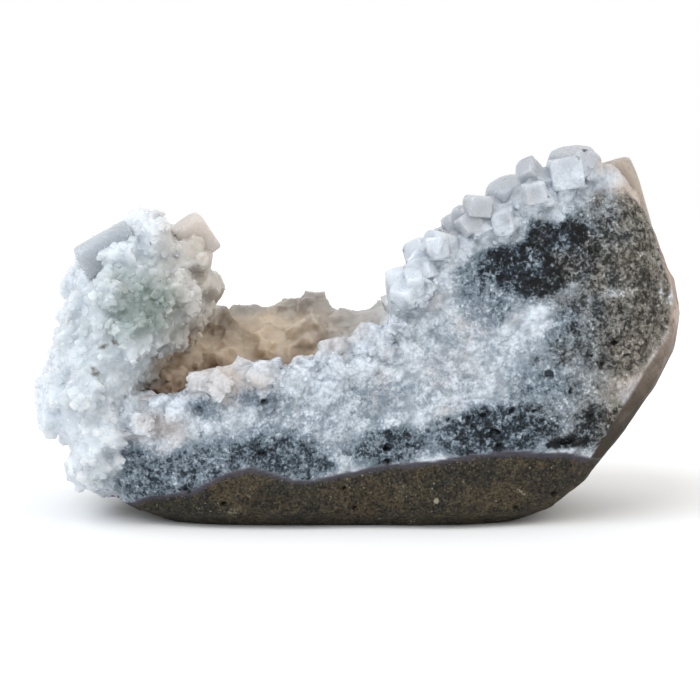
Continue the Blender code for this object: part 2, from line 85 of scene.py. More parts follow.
def tint(red: int, green: int, blue: int) -> Colour:
    """Turns a screen colour into a linear one.

    Args:
        red: Red from 0 to 255.
        green: Green from 0 to 255.
        blue: Blue from 0 to 255.

    Returns:
        The linear red, green and blue from 0 to 1.
    """
    shares = (red / 255, green / 255, blue / 255)
    return tuple(((v + 0.055) / 1.055) ** 2.4 if v > 0.04 else v / 12.92 for v in shares)


def ease(values: np.ndarray, low: float, high: float) -> np.ndarray:
    """Rises smoothly from 0 at the low value to 1 at the high one.

    Args:
        values: The numbers to ease.
        low: Where the rise starts.
        high: Where the rise ends.

    Returns:
        A number from 0 to 1 for each value.
    """
    share = np.clip((values - low) / (high - low), 0.0, 1.0)
    return share * share * (3.0 - 2.0 * share)


class Noise:
    """Repeatable unevenness, worked out for many points at once."""

    AXIS_PRIMES = np.array((73856093, 19349663, 83492791))
    SEED_STEP = 40503
    CHANNEL_STEP = 9973
    STIR = 0x45D9F3B
    WORD = 0xFFFFFFFF
    SHARE = 0xFFFFFF

    def __init__(self, seed: int) -> None:
        """Keeps the seed that tells this noise from another."""
        self.seed = seed

    def chance(self, cells: np.ndarray, channel: int = 0) -> np.ndarray:
        """Draws a number for each cell of a lattice.

        Args:
            cells: Whole-number cells, three to a point.
            channel: Which of the cell's numbers to draw.

        Returns:
            A number from 0 to 1 for each cell.
        """
        key = np.bitwise_xor.reduce(cells * self.AXIS_PRIMES, axis=-1)
        key = (key ^ (self.seed * self.SEED_STEP + channel * self.CHANNEL_STEP)) & self.WORD
        for _ in range(2):
            key = ((key ^ (key >> 16)) * self.STIR) & self.WORD
        return ((key ^ (key >> 16)) & self.SHARE) / (self.SHARE + 1)

    def soft(self, points: np.ndarray, size: float) -> np.ndarray:
        """Gives smooth swells.

        Args:
            points: Places in millimetres.
            size: Distance from one swell to the next.

        Returns:
            A number from -1 to 1 for each point.
        """
        scaled = points / size
        base = np.floor(scaled).astype(np.int64)
        part = scaled - base
        part = part * part * part * (part * (part * 6.0 - 15.0) + 10.0)
        total = np.zeros(len(points))
        for corner in range(8):
            step = np.array([corner & 1, corner >> 1 & 1, corner >> 2 & 1])
            weight = np.prod(np.where(step, part, 1.0 - part), axis=1)
            total += weight * self.chance(base + step)
        return total * 2.0 - 1.0

    def layered(self, points: np.ndarray, size: float, layers: int = 3) -> np.ndarray:
        """Adds finer and finer swells together.

        Args:
            points: Places in millimetres.
            size: Distance between the largest swells.
            layers: How many scales there are.

        Returns:
            A number from about -1 to 1 for each point.
        """
        total = np.zeros(len(points))
        for layer in range(layers):
            total += self.soft(points + 37.0 * layer, size / 2**layer) / 2**layer
        return total / 1.5

    def grains(self, points: np.ndarray, size: float) -> tuple[np.ndarray, np.ndarray, np.ndarray]:
        """Finds the grain that each point is in, among grains packed side by side.

        Args:
            points: Places in millimetres.
            size: Width of a grain.

        Returns:
            The distance to the grain's middle, the distance to the next grain's middle, both
            in grain widths, and a number from 0 to 1 that tells the grains apart.
        """
        scaled = points / size
        base = np.floor(scaled).astype(np.int64)
        first = np.full(len(points), 9.0)
        second = np.full(len(points), 9.0)
        mark = np.zeros(len(points))
        for shift in np.ndindex(3, 3, 3):
            cell = base + (np.array(shift) - 1)
            middle = cell + np.stack([self.chance(cell, axis) for axis in (1, 2, 3)], axis=1)
            reach = np.linalg.norm(scaled - middle, axis=1)
            nearer = reach < first
            second = np.where(nearer, first, np.minimum(second, reach))
            mark = np.where(nearer, self.chance(cell, 4), mark)
            first = np.where(nearer, reach, first)
        return first, second, mark


Number = Union[float, "Wire"]


class Wire:
    """One socket of a material, on which arithmetic adds Math nodes."""

    def __init__(self, shader: "Shader", socket: bpy.types.NodeSocket) -> None:
        """Wraps a socket of the shader's tree."""
        self.shader = shader
        self.socket = socket

    def sum(self, operation: str, *terms: Number) -> "Wire":
        """Adds a Math node.

        Args:
            operation: The Math node's operation.
            terms: Its values or links, in order.

        Returns:
            The node's result.
        """
        return self.shader.node("ShaderNodeMath", {"operation": operation}, dict(enumerate(terms)))

    def __add__(self, other: Number) -> "Wire":
        """Adds a number or a wire."""
        return self.sum("ADD", self, other)

    __radd__ = __add__

    def __sub__(self, other: Number) -> "Wire":
        """Takes a number or a wire away."""
        return self.sum("SUBTRACT", self, other)

    def __rsub__(self, other: Number) -> "Wire":
        """Takes this wire away from a number."""
        return self.sum("SUBTRACT", other, self)

    def __mul__(self, other: Number) -> "Wire":
        """Multiplies by a number or a wire."""
        return self.sum("MULTIPLY", self, other)

    __rmul__ = __mul__

    def most(self, other: Number) -> "Wire":
        """Takes the larger of this and another."""
        return self.sum("MAXIMUM", self, other)

    def least(self, other: Number) -> "Wire":
        """Takes the smaller of this and another."""
        return self.sum("MINIMUM", self, other)

    def rise(self, low: Number, high: Number) -> "Wire":
        """Rises smoothly from 0 to 1.

        Args:
            low: Where the rise starts.
            high: Where the rise ends.

        Returns:
            A wire from 0 to 1.
        """
        settings = {"interpolation_type": "SMOOTHSTEP"}
        inputs = {"Value": self, "From Min": low, "From Max": high}
        return self.shader.node("ShaderNodeMapRange", settings, inputs)


class Shader:
    """The node tree of one material."""

    MIX_INPUTS = (0, 6, 7)
    MIX_COLOUR = 2

    def __init__(self, name: str) -> None:
        """Starts a material of that name with nothing in its tree but the output."""
        self.material = bpy.data.materials.new(name)
        self.material.use_nodes = True
        self.tree = self.material.node_tree
        self.tree.nodes.clear()
        self.end = self.tree.nodes.new("ShaderNodeOutputMaterial")
        self.place = self.node("ShaderNodeTexCoord", output="Object")

    def node(
        self,
        kind: str,
        settings: Mapping[str, object] | None = None,
        inputs: Mapping[Union[int, str], object] | None = None,
        output: Union[int, str] = 0,
    ) -> Wire:
        """Adds any node.

        Args:
            kind: The node's type.
            settings: Its properties, which are set first.
            inputs: Values or wires for its sockets, by number or name.
            output: Which of its outputs to hand back, by number or name.

        Returns:
            The chosen output.
        """
        made = self.tree.nodes.new(kind)
        for key, value in (settings or {}).items():
            setattr(made, key, value)
        for key, value in (inputs or {}).items():
            if isinstance(value, Wire):
                self.tree.links.new(value.socket, made.inputs[key])
            else:
                made.inputs[key].default_value = value
        return Wire(self, made.outputs[output])

    def mark(self, name: str) -> Wire:
        """Reads what the mesh carries under a name."""
        return self.node("ShaderNodeAttribute", {"attribute_name": name}, output="Fac")

    def colour(self, value: Colour) -> tuple[float, float, float, float]:
        """Makes a colour fit for a socket."""
        return (*value, 1.0)

    def blend(self, first: Union[Colour, Wire], second: Union[Colour, Wire], share: Number) -> Wire:
        """Mixes two colours.

        Args:
            first: The colour where the share is 0.
            second: The colour where the share is 1.
            share: How much of the second to take.

        Returns:
            The mixed colour.
        """
        ends = [v if isinstance(v, Wire) else self.colour(v) for v in (first, second)]
        inputs = dict(zip(self.MIX_INPUTS, (share, *ends)))
        return self.node("ShaderNodeMix", {"data_type": "RGBA"}, inputs, self.MIX_COLOUR)

    def swells(
        self, size: float, detail: float = 2.0, rough: float = 0.5, warp: float = 0.0
    ) -> Wire:
        """Adds soft noise.

        Args:
            size: Distance between swells in millimetres.
            detail: How many finer scales it has.
            rough: Strength of the finer scales.
            warp: How far it is pulled about.

        Returns:
            A wire around 0.5.
        """
        inputs = {
            "Vector": self.place,
            "Scale": 1 / (size * MM),
            "Detail": detail,
            "Roughness": rough,
            "Distortion": warp,
        }
        return self.node("ShaderNodeTexNoise", inputs=inputs)

    def cells(self, size: float, output: str = "Distance") -> Wire:
        """Adds a pattern of packed grains.

        Args:
            size: Width of a grain in millimetres.
            output: The Voronoi node's output.

        Returns:
            The chosen output.
        """
        inputs = {"Vector": self.place, "Scale": 1 / (size * MM)}
        return self.node("ShaderNodeTexVoronoi", inputs=inputs, output=output)

    def vector(self, operation: str, *terms: object) -> Wire:
        """Adds a Vector Math node.

        Args:
            operation: The node's operation.
            terms: Its vectors or wires, in order.

        Returns:
            The node's result.
        """
        settings = {"operation": operation}
        return self.node("ShaderNodeVectorMath", settings, dict(enumerate(terms)))

    def facets(self, size: float, tilt: Number) -> Wire:
        """Tilts the surface by grains, each one flat and in a direction of its own.

        Args:
            size: Width of a grain in millimetres.
            tilt: How far the grains lean.

        Returns:
            The tilted normal.
        """
        level = (0.5, 0.5, 0.5)
        lean = self.vector("SUBTRACT", self.cells(size, "Color"), level)
        settings = {"operation": "SCALE"}
        lean = self.node("ShaderNodeVectorMath", settings, {0: lean, "Scale": tilt})
        straight = self.node("ShaderNodeNewGeometry", output="Normal")
        return self.vector("NORMALIZE", self.vector("ADD", straight, lean))

    def relief(self, height: Wire, depth: float, before: Wire | None = None) -> Wire:
        """Adds a Bump node.

        Args:
            height: Height from 0 to 1.
            depth: What a height of 1 stands for, in millimetres.
            before: A relief that this one is laid on.

        Returns:
            The bent normal.
        """
        inputs = {"Height": height, "Distance": depth * MM, "Strength": 1.0}
        if before is not None:
            inputs["Normal"] = before
        return self.node("ShaderNodeBump", inputs=inputs)

    def principled(self, inputs: Mapping[Union[int, str], object]) -> Wire:
        """Adds a Principled shader with these values or wires."""
        return self.node("ShaderNodeBsdfPrincipled", inputs=inputs)

    def close(
        self, surface: Wire, absorb: tuple[Colour, float] | None = None
    ) -> bpy.types.Material:
        """Ends the tree.

        Args:
            surface: The shader of the surface.
            absorb: Colour and strength per millimetre of what the inside takes out of light.

        Returns:
            The finished material.
        """
        self.tree.links.new(surface.socket, self.end.inputs["Surface"])
        if absorb:
            values = {"Color": self.colour(absorb[0]), "Density": absorb[1] / MM}
            inside = self.node("ShaderNodeVolumeAbsorption", inputs=values)
            self.tree.links.new(inside.socket, self.end.inputs["Volume"])
        return self.material


@dataclass(frozen=True)
class RockFinish:
    """Dark basalt, and white to grey granular quartz that is peppered with dark mineral."""

    name: str
    snow: Colour = tint(208, 215, 223)
    # shade is the white druse's grey: painted shade in the creases between its lumps and at its
    # grain edges, and a grey mottling.
    shade: Colour = tint(146, 153, 161)
    blush: Colour = tint(192, 179, 170)
    # salt and slate are the grey and dark grains in the cool light of the left; warm_lit_salt and
    # warm_lit_slate are the same grains with the warmer light of the right-hand end painted in.
    salt: Colour = tint(114, 126, 136)
    warm_lit_salt: Colour = tint(122, 118, 110)
    slate: Colour = tint(38, 47, 55)
    warm_lit_slate: Colour = tint(56, 53, 48)
    pepper: Colour = tint(5, 6, 8)
    # hole is painted shade inside the gas holes, which are also carved.
    hole: Colour = tint(14, 13, 11)
    rind: Colour = tint(160, 145, 133)
    low_rind: Colour = tint(50, 42, 33)
    basalt: Colour = tint(43, 41, 33)
    brown: Colour = tint(60, 51, 36)
    ochre: Colour = tint(86, 76, 54)
    dark: Colour = tint(14, 13, 11)
    fleck: Colour = tint(150, 144, 126)
    seam: Colour = tint(62, 60, 70)
    fine_size: float = 0.62
    grain_size: float = 0.9
    fine_depth: float = 0.30
    grain_depth: float = 0.16
    roughness: float = 0.68
    refraction: float = 1.5
    gloss: float = 0.22

    def material(self) -> bpy.types.Material:
        """Makes the material."""
        s = Shader(self.name)
        return s.close(self.skin(s))

    def skin(self, s: Shader) -> Wire:
        """Makes the rock's surface, which goes from basalt to quartz by the mesh's marks."""
        fine = s.swells(self.fine_size, 3.0, 0.75)
        grain = s.cells(self.grain_size)
        stone, rind = s.mark("stone"), s.mark("rind")
        colour = s.blend(self.quartz(s, fine, grain), self.foot(s, fine), stone)
        colour = s.blend(colour, self.seam, s.mark("seam"))
        colour = s.blend(colour, self.weathered(s, fine, grain), rind)
        # Painted shade: the gas holes are darkened where the pit mark is high.
        colour = s.blend(colour, self.hole, s.mark("pit"))
        rugged = 1 - rind * 0.55
        bumps = s.relief(fine * rugged, self.fine_depth)
        bumps = s.relief(grain * rugged * (1 - stone * 0.6), self.grain_depth, bumps)
        return s.principled(
            {
                "Base Color": colour,
                "Roughness": self.roughness + (fine - 0.5) * 0.5,
                "IOR": self.refraction,
                "Specular IOR Level": self.gloss,
                "Normal": bumps,
            }
        )

    def weathered(self, s: Shader, fine: Wire, grain: Wire) -> Wire:
        """Colours the worn skin at the right-hand end.

        Args:
            s: The shader.
            fine: The rock's finest noise.
            grain: Its pattern of grains.

        Returns:
            The colour, mottled with brown smears, a blush and dark specks.
        """
        high = s.mark("high")
        smears = s.swells(2.6, 5.0, 0.7, 1.2).rise(0.42, 0.72)
        blush = s.swells(6.0, 4.0, 0.65, 0.6).rise(0.50, 0.70)
        specks = (grain - 0.1).rise(0.12, 0.0) * fine.rise(0.50, 0.60)
        colour = s.blend(self.low_rind, self.rind, high)
        colour = s.blend(colour, self.low_rind, smears * 0.6)
        colour = s.blend(colour, self.blush, blush * high * 0.6)
        return s.blend(colour, self.pepper, specks * 0.6)

    def quartz(self, s: Shader, fine: Wire, grain: Wire) -> Wire:
        """Colours the granular quartz.

        Args:
            s: The shader.
            fine: Its finest noise.
            grain: Its pattern of grains.

        Returns:
            The colour, from white druse through grey to near black.
        """
        dark, warm_light = s.mark("dark"), s.mark("warm_light")
        patch = s.swells(3.6, 4.0, 0.62)
        specks = s.cells(0.62, "Color") + s.cells(1.15, "Color") - 1
        grit = (fine - 0.5) * (dark * 0.85 + 0.3) + specks * (dark * 0.40 + 0.06)
        level = 0.92 - dark * 0.70 + grit + (patch - 0.5) * (dark * dark * 1.0 + 0.45)
        # Painted shade: the white druse turns towards the shade colour in the creases between its
        # domes and at its grain edges, over a grey mottling.
        mottle_and_crease_shade = (s.swells(4.5, 4.0, 0.62, 0.3) + s.mark("crease") * 0.22).rise(0.42, 0.80)
        glow = s.mark("blush") + s.swells(11.0, 2.0).rise(0.52, 0.72) * 0.4
        white = s.blend(self.snow, self.shade, mottle_and_crease_shade.most((grain - 0.35) * 0.9))
        white = s.blend(white, self.blush, glow.least(1.0))
        # Painted light: towards the right-hand end the grains take their warmer-lit colours.
        salt = s.blend(self.salt, self.warm_lit_salt, warm_light)
        slate = s.blend(self.slate, self.warm_lit_slate, warm_light)
        colour = s.blend(self.pepper, slate, level.rise(0.04, 0.36))
        colour = s.blend(colour, salt, level.rise(0.30, 0.66))
        return s.blend(colour, white, level.rise(0.60, 0.96))

    def foot(self, s: Shader, fine: Wire) -> Wire:
        """Colours the basalt.

        Args:
            s: The shader.
            fine: Its finest noise.

        Returns:
            The colour, with brown stains, dark grains, pale flecks and scuffs.
        """
        stains = s.swells(9.0, 4.0, 0.6).rise(0.40, 0.66)
        mottle = s.swells(0.5, 3.0, 0.7).rise(0.52, 0.7)
        grains = s.cells(0.5, "Color") + (s.swells(7.0, 5.0, 0.7, 1.5) - 0.5) * 1.5
        flecks = s.cells(1.5).rise(0.24, 0.06) * s.swells(2.0, 3.0).rise(0.52, 0.60)
        flecks = flecks * fine.rise(0.40, 0.52)
        scuffs = s.swells(3.0, 5.0, 0.8, 3.0).rise(0.58, 0.70) * 0.42
        scratched = (s.mark("scratch") + s.swells(0.8, 3.0, 0.7) - 0.95).rise(0.0, 0.5)
        colour = s.blend(self.basalt, self.brown, stains)
        colour = s.blend(colour, self.dark, fine.rise(0.48, 0.70) * 0.85)
        colour = s.blend(colour, self.brown, mottle)
        colour = s.blend(colour, self.ochre, grains.rise(0.62, 0.90) * 0.6)
        colour = s.blend(colour, self.dark, grains.rise(0.44, 0.20) * 0.85)
        return s.blend(colour, self.fleck, (flecks * 0.75).most(scuffs).most(scratched * 0.9))


@dataclass(frozen=True)
class CrystalFinish:
    """Cloudy apophyllite with a glassy skin, which turns to white quartz at its root."""

    name: str
    milky: Colour = tint(224, 231, 238)
    cloudy: Colour = tint(202, 208, 214)
    # haze_and_shade is a duller grey-brown: painted shade on the tower's right-hand side, partly
    # painted shade on the hollow's back wall and rim, and the crest's own grey.
    haze_and_shade: Colour = tint(138, 130, 121)
    stain: Colour = tint(214, 195, 171)
    # low_dark_brown is a darker brown that the hollow takes towards its bottom.
    low_dark_brown: Colour = tint(146, 122, 97)
    green: Colour = tint(84, 106, 94)
    olive: Colour = tint(84, 74, 50)
    rosy: Colour = tint(200, 191, 184)
    clear: Colour = tint(194, 201, 210)
    clearness: float = 0.14
    frost: float = 0.3
    sparkle: float = 0.24
    depth: float = 7.0
    cloud_share: float = 0.9
    glass_clearness: float = 0.72
    glass_cloud_share: float = 0.8
    facet_size: float = 1.25
    step_depth: float = 0.06
    refraction: float = 1.535
    absorb: tuple[Colour, float] = ((0.80, 0.84, 0.88), 0.035)
    rock: RockFinish = RockFinish("root")

    def material(self) -> bpy.types.Material:
        """Makes the material, milky or glassy by the marks, with facets and growth steps."""
        s = Shader(self.name)
        colour = self.colour(s)
        smudge = s.swells(1.6, 4.0, 0.65).rise(0.35, 0.75)
        sparkle = (1 - s.mark("smooth") * 0.85) * self.sparkle
        facets = s.facets(self.facet_size, sparkle)
        steps = s.relief(s.swells(0.7, 3.0, 0.65), self.step_depth, facets)
        skin = {"IOR": self.refraction, "Normal": steps, "Subsurface Radius": (1.0, 1.0, 1.0)}
        milky = s.principled(
            {
                **skin,
                "Base Color": colour,
                "Roughness": smudge * 0.22 + self.frost,
                "Transmission Weight": self.clearness,
                "Subsurface Weight": self.cloud_share,
                "Subsurface Scale": self.depth * MM,
            }
        )
        glass = s.principled(
            {
                **skin,
                "Base Color": s.blend(s.blend(self.clear, colour, 0.2), self.rosy, s.mark("rosy")),
                "Roughness": smudge * 0.16 + self.frost * 0.6,
                "Transmission Weight": self.glass_clearness,
                "Subsurface Weight": self.glass_cloud_share,
                "Subsurface Scale": self.depth * 1.5 * MM,
            }
        )
        grown = self.mix(s, milky, glass, s.mark("clear"))
        return s.close(self.mix(s, grown, self.rock.skin(s), s.mark("snow")), self.absorb)

    def colour(self, s: Shader) -> Wire:
        """Colours the crystal, with a tone for each crystal, stains, a duller haze_and_shade tint
        that is partly painted shade, and green and rosy spots.
        """
        veil = (s.mark("tone") * 0.3 + s.swells(5.0, 3.0, 0.55, 0.4)).rise(0.45, 0.95)
        depth = (s.swells(8.0, 3.0) + s.mark("deep") * 0.35).rise(0.42, 0.85)
        wisps = s.swells(3.0, 3.0, 0.6, 0.6) - 0.5
        colour = s.blend(self.milky, self.cloudy, veil)
        colour = s.blend(colour, s.blend(self.stain, self.low_dark_brown, depth), s.mark("stain"))
        # Painted shade, in part: haze_and_shade dulls the tower's right-hand side and the hollow's
        # back wall.
        colour = s.blend(colour, self.haze_and_shade, s.mark("haze_and_shade"))
        colour = s.blend(colour, self.green, (wisps * 1.4 + 1.15) * s.mark("green"))
        olive = (s.mark("olive") * 1.3 + wisps * 2.0 - 0.35).rise(0.0, 0.7)
        colour = s.blend(colour, self.olive, olive)
        return s.blend(colour, self.rosy, s.mark("rosy"))

    def mix(self, s: Shader, first: Wire, second: Wire, share: Wire) -> Wire:
        """Goes from one surface to another by a share."""
        return s.node("ShaderNodeMixShader", inputs={0: share, 1: first, 2: second})


@dataclass(frozen=True)
class Patch:
    """A soft-edged spot, as its middle and half sizes along and up, its turn and strength."""

    along: float
    up: float
    half_along: float
    half_up: float
    turn: float = 0.0
    strength: float = 1.0
    edge: float = 0.35
    far: float = 60.0
    fade: float = 8.0

    def share(self, points: np.ndarray, wobble: np.ndarray) -> np.ndarray:
        """Says how much of the spot each point is in.

        Args:
            points: Places in millimetres.
            wobble: How far the edge moves out at each point, in half sizes.

        Returns:
            A number from 0 to the spot's strength for each point.
        """
        angle = math.radians(self.turn)
        along = points[:, 0] - self.along
        up = points[:, 2] - self.up
        across = along * math.cos(angle) + up * math.sin(angle)
        rise = up * math.cos(angle) - along * math.sin(angle)
        reach = np.hypot(across / self.half_along, rise / self.half_up) - wobble
        inside = 1.0 - ease(reach, 1.0 - self.edge, 1.0 + self.edge)
        depth = 1.0 - ease(points[:, 1], self.far, self.far + self.fade)
        return inside * depth * self.strength


def strongest(patches: Sequence[Patch], points: np.ndarray, wobble: np.ndarray) -> np.ndarray:
    """Takes the strongest of several spots at each point."""
    return np.max([patch.share(points, wobble) for patch in patches], axis=0)


class Axis(Enum):
    """The specimen's own directions: to its right, to its back and up."""

    ALONG = 0
    BACK = 1
    UP = 2


@dataclass(frozen=True)
class Fade:
    """A soft border across an axis, as its start, its end and how far it sways."""

    axis: Axis
    start: float
    end: float
    sway: float = 0.0

    def share(self, points: np.ndarray, sway: np.ndarray) -> np.ndarray:
        """Rises from 0 before the border to 1 past it."""
        return ease(points[:, self.axis.value] + sway * self.sway, self.start, self.end)


def read(rows: bpy.types.bpy_prop_collection, name: str) -> np.ndarray:
    """Reads one vector from each row of a mesh's data."""
    values = np.empty(len(rows) * 3, np.float32)
    rows.foreach_get(name, values)
    return values.reshape(-1, 3).astype(float)


class Fuse(Enum):
    """How one closed mesh acts on another."""

    ADD = "UNION"
    KEEP = "INTERSECT"
    TAKE = "DIFFERENCE"


class Surface:
    """A closed fine mesh that is carved, cut, painted and dressed."""

    def __init__(self, name: str, mesh: bpy.types.Mesh) -> None:
        """Starts from a mesh in metres."""
        self.name = name
        self.object = bpy.data.objects.new(name, mesh)
        bpy.context.scene.collection.objects.link(self.object)

    @classmethod
    def of(cls, name: str, points: np.ndarray, faces: Faces) -> "Surface":
        """Starts from vertices in millimetres and faces."""
        mesh = bpy.data.meshes.new(name)
        mesh.from_pydata((points * MM).tolist(), [], faces)
        return cls(name, mesh)

    def twin(self, name: str) -> "Surface":
        """Makes a copy under another name."""
        return Surface(name, self.object.data.copy())

    def drop(self) -> None:
        """Takes the mesh out of the scene."""
        bpy.data.objects.remove(self.object)

    @property
    def points(self) -> np.ndarray:
        """Where the mesh's vertices are, in millimetres."""
        return read(self.object.data.vertices, "co") / MM

    @property
    def normals(self) -> np.ndarray:
        """Which way the surface faces at each vertex."""
        return read(self.object.data.vertex_normals, "vector")

    def push(self, heights: np.ndarray) -> None:
        """Moves each vertex out along its normal by a height in millimetres."""
        moved = self.points + self.normals * heights[:, None]
        self.object.data.vertices.foreach_set("co", (moved * MM).astype(np.float32).ravel())
        self.object.data.update()

    def settle(self) -> None:
        """Turns the modifiers into mesh."""
        view = bpy.context.evaluated_depsgraph_get()
        fine = bpy.data.meshes.new_from_object(self.object.evaluated_get(view))
        self.object.modifiers.clear()
        self.object.data = fine
        fine.name = self.name

    def recut(self, size: float, rounds: int) -> None:
        """Cuts the mesh up into small faces of one size.

        Args:
            size: Width of a face in millimetres.
            rounds: How many times the new mesh is smoothed.
        """
        cut = self.object.modifiers.new("cut", "REMESH")
        cut.mode = "VOXEL"
        cut.voxel_size = size * MM
        calm = self.object.modifiers.new("calm", "SMOOTH")
        calm.factor = 0.5
        calm.iterations = rounds
        self.settle()

    def fuse(self, other: "Surface", how: Fuse) -> None:
        """Adds another closed mesh to this one, keeps what both share, or takes it away."""
        step = self.object.modifiers.new("fuse", "BOOLEAN")
        step.solver = "MANIFOLD"
        step.operation = how.value
        step.object = other.object
        self.settle()

    def paint(self, name: str, values: np.ndarray) -> None:
        """Keeps a number for each vertex under a name that the finish reads."""
        layer = self.object.data.attributes.new(name, "FLOAT", "POINT")
        layer.data.foreach_set("value", np.clip(values, 0.0, 1.0).astype(np.float32))

    def tree(self) -> BVHTree:
        """Makes a search tree of the surface, in metres."""
        return BVHTree.FromObject(self.object, bpy.context.evaluated_depsgraph_get())

    def dress(self, material: bpy.types.Material, node: str, slot: str) -> None:
        """Gives the mesh its finish and puts it in the CAD solid's place.

        Args:
            material: The finish.
            node: The CAD solid that it stands for.
            slot: The record's slot that the finish belongs to. It is not used.
        """
        mesh = self.object.data
        mesh.materials.clear()
        mesh.materials.append(material)
        mesh.polygons.foreach_set("use_smooth", np.ones(len(mesh.polygons), bool))
        mesh.set_sharp_from_angle(angle=math.radians(SHARP_ANGLE))
        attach(self.object, "root")
        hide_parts(node)
        count = sum(len(p.vertices) - 2 for p in mesh.polygons)
        LOG.info("%s: %d triangles in place of %s", self.name, count, node)


def nearest(tree: BVHTree, points: np.ndarray, furthest: float) -> np.ndarray:
    """Measures how far points are from a surface.

    Args:
        tree: The surface's search tree.
        points: Places in millimetres.
        furthest: The greatest distance that matters.

    Returns:
        The distance in millimetres for each point, no more than the furthest.
    """
    reach = furthest * MM
    found = (tree.find_nearest(p, reach)[3] for p in (points * MM).tolist())
    return np.array([furthest if d is None else d / MM for d in found])


@functools.cache
def solid_tree(node: str) -> BVHTree:
    """Makes a search tree of a CAD solid's surface, in metres."""
    mesh = frame["nodes"][node].data
    return BVHTree.FromPolygons([v.co for v in mesh.vertices], [p.vertices for p in mesh.polygons])


def block_shape(corner: float) -> tuple[np.ndarray, Faces]:
    """Makes a block of size 1 whose upper corners are cut off, the habit of apophyllite.

    Args:
        corner: How far along its edges each corner is cut.

    Returns:
        Its vertices and its faces, which face outwards.
    """
    turns = ((-1, -1), (1, -1), (1, 1), (-1, 1))
    points: list[Point] = [(x / 2, y / 2, -0.5) for x, y in turns]
    for x, y in turns:
        along_x = (x * (0.5 - corner), y * 0.5, 0.5)
        along_y = (x * 0.5, y * (0.5 - corner), 0.5)
        down = (x * 0.5, y * 0.5, 0.5 - corner)
        points += [along_y, along_x, down] if x * y > 0 else [along_x, along_y, down]
    cuts = [(4 + 3 * i, 5 + 3 * i, 6 + 3 * i) for i in range(4)]
    faces: list[tuple[int, ...]] = [(3, 2, 1, 0), tuple(k for cut in cuts for k in cut[:2])]
    for i, (first, second, below) in enumerate(cuts):
        following = cuts[(i + 1) % 4]
        faces.append((i, (i + 1) % 4, following[2], following[0], second, below))
        faces.append((first, below, second))
    return np.array(points), faces


def wear(
    points: np.ndarray, faces: Faces, radius: float, flat_area: float = 9.0, inset: float = 0.4
) -> tuple[np.ndarray, Faces]:
    """Rounds the edges of a closed shape and keeps its larger faces flat.

    Args:
        points: Its vertices.
        faces: Its faces.
        radius: How far from each edge the rounding starts.
        flat_area: How large a face has to be to stay flat, in squares of the radius.
        inset: How far in from its edge a flat face starts, as a part of the radius.

    Returns:
        The worn shape's vertices and faces.
    """
    work = bmesh.new()
    corners = [work.verts.new(p) for p in points.tolist()]
    for face in faces:
        work.faces.new([corners[i] for i in face])
    rounding = bmesh.ops.bevel(
        work,
        geom=work.edges[:],
        offset=radius,
        segments=2,
        profile=0.5,
        affect="EDGES",
        clamp_overlap=True,
    )
    bent = set(rounding["faces"])
    least = flat_area * radius * radius
    flat = [face for face in work.faces if face not in bent and face.calc_area() > least]
    bmesh.ops.inset_individual(work, faces=flat, thickness=radius * inset, use_even_offset=True)
    work.verts.index_update()
    made = [tuple(v.index for v in face.verts) for face in work.faces]
    worn = np.array([v.co for v in work.verts])
    work.free()
    return worn, made


@dataclass(frozen=True)
class Shape:
    """One closed shape that grows on the specimen."""

    points: np.ndarray
    faces: Faces
    middle: np.ndarray
    reach: float


@dataclass(frozen=True)
class Block:
    """A large crystal, as its middle, its sizes and its turn in degrees about X, Y and Z."""

    middle: Point
    sizes: Point
    turn: Point
    clear: float = 0.0
    rosy: float = 0.0
    corner: float = 0.3
    swell: float = 0.9
    worn: float = 0.8

    @property
    def axes(self) -> np.ndarray:
        """The directions of its own width, depth and length."""
        return np.array(Euler([math.radians(a) for a in self.turn], "XYZ").to_matrix()).T

    def shape(self, room: float = 0.0) -> Shape:
        """Makes the crystal a little larger than its core, with worn edges.

        Args:
            room: How much further out every face is.

        Returns:
            The crystal.
        """
        shape, faces = block_shape(self.corner)
        sizes = np.array(self.sizes) + self.swell + room * 2
        middle = np.array(self.middle)
        points, made = wear(shape * sizes, faces, self.worn)
        return Shape(points @ self.axes + middle, made, middle, float(np.linalg.norm(sizes)) / 2)

    @property
    def root_margin(self) -> float:
        """How far around its core the body makes way for it."""
        return max(self.swell / 2 - 0.35, -0.05)

    @property
    def root_depth(self) -> float:
        """How far the body sinks in under it, so that nothing shows at its worn edges."""
        return self.worn * 0.45 + 0.6

    @property
    def skin_margin(self) -> float:
        """How far around its core its own tint goes."""
        return max(self.swell / 2, 0.0) + 0.15

    def share(self, points: np.ndarray, margin: float, fade: float) -> np.ndarray:
        """Says which points are in the crystal or close to it.

        Args:
            points: Places in millimetres.
            margin: How far around it still counts.
            fade: Over what distance it ends.

        Returns:
            A number from 0 outside to 1 inside for each point.
        """
        local = np.abs((points - np.array(self.middle)) @ self.axes.T) - np.array(self.sizes) / 2
        return 1.0 - ease(local.max(axis=1), margin, margin + fade)


class Zone(Enum):
    """The ground that a druse grows on."""

    TOWER = "left_crystal_tower"
    HOLLOW = "hollow_crust"
    CREST = "crest_crystals"
    BELT = "speckled_layer"


CRUSTS = (Zone.TOWER.value, Zone.HOLLOW.value, Zone.CREST.value)
STONES = ("basalt_matrix", "speckled_layer")

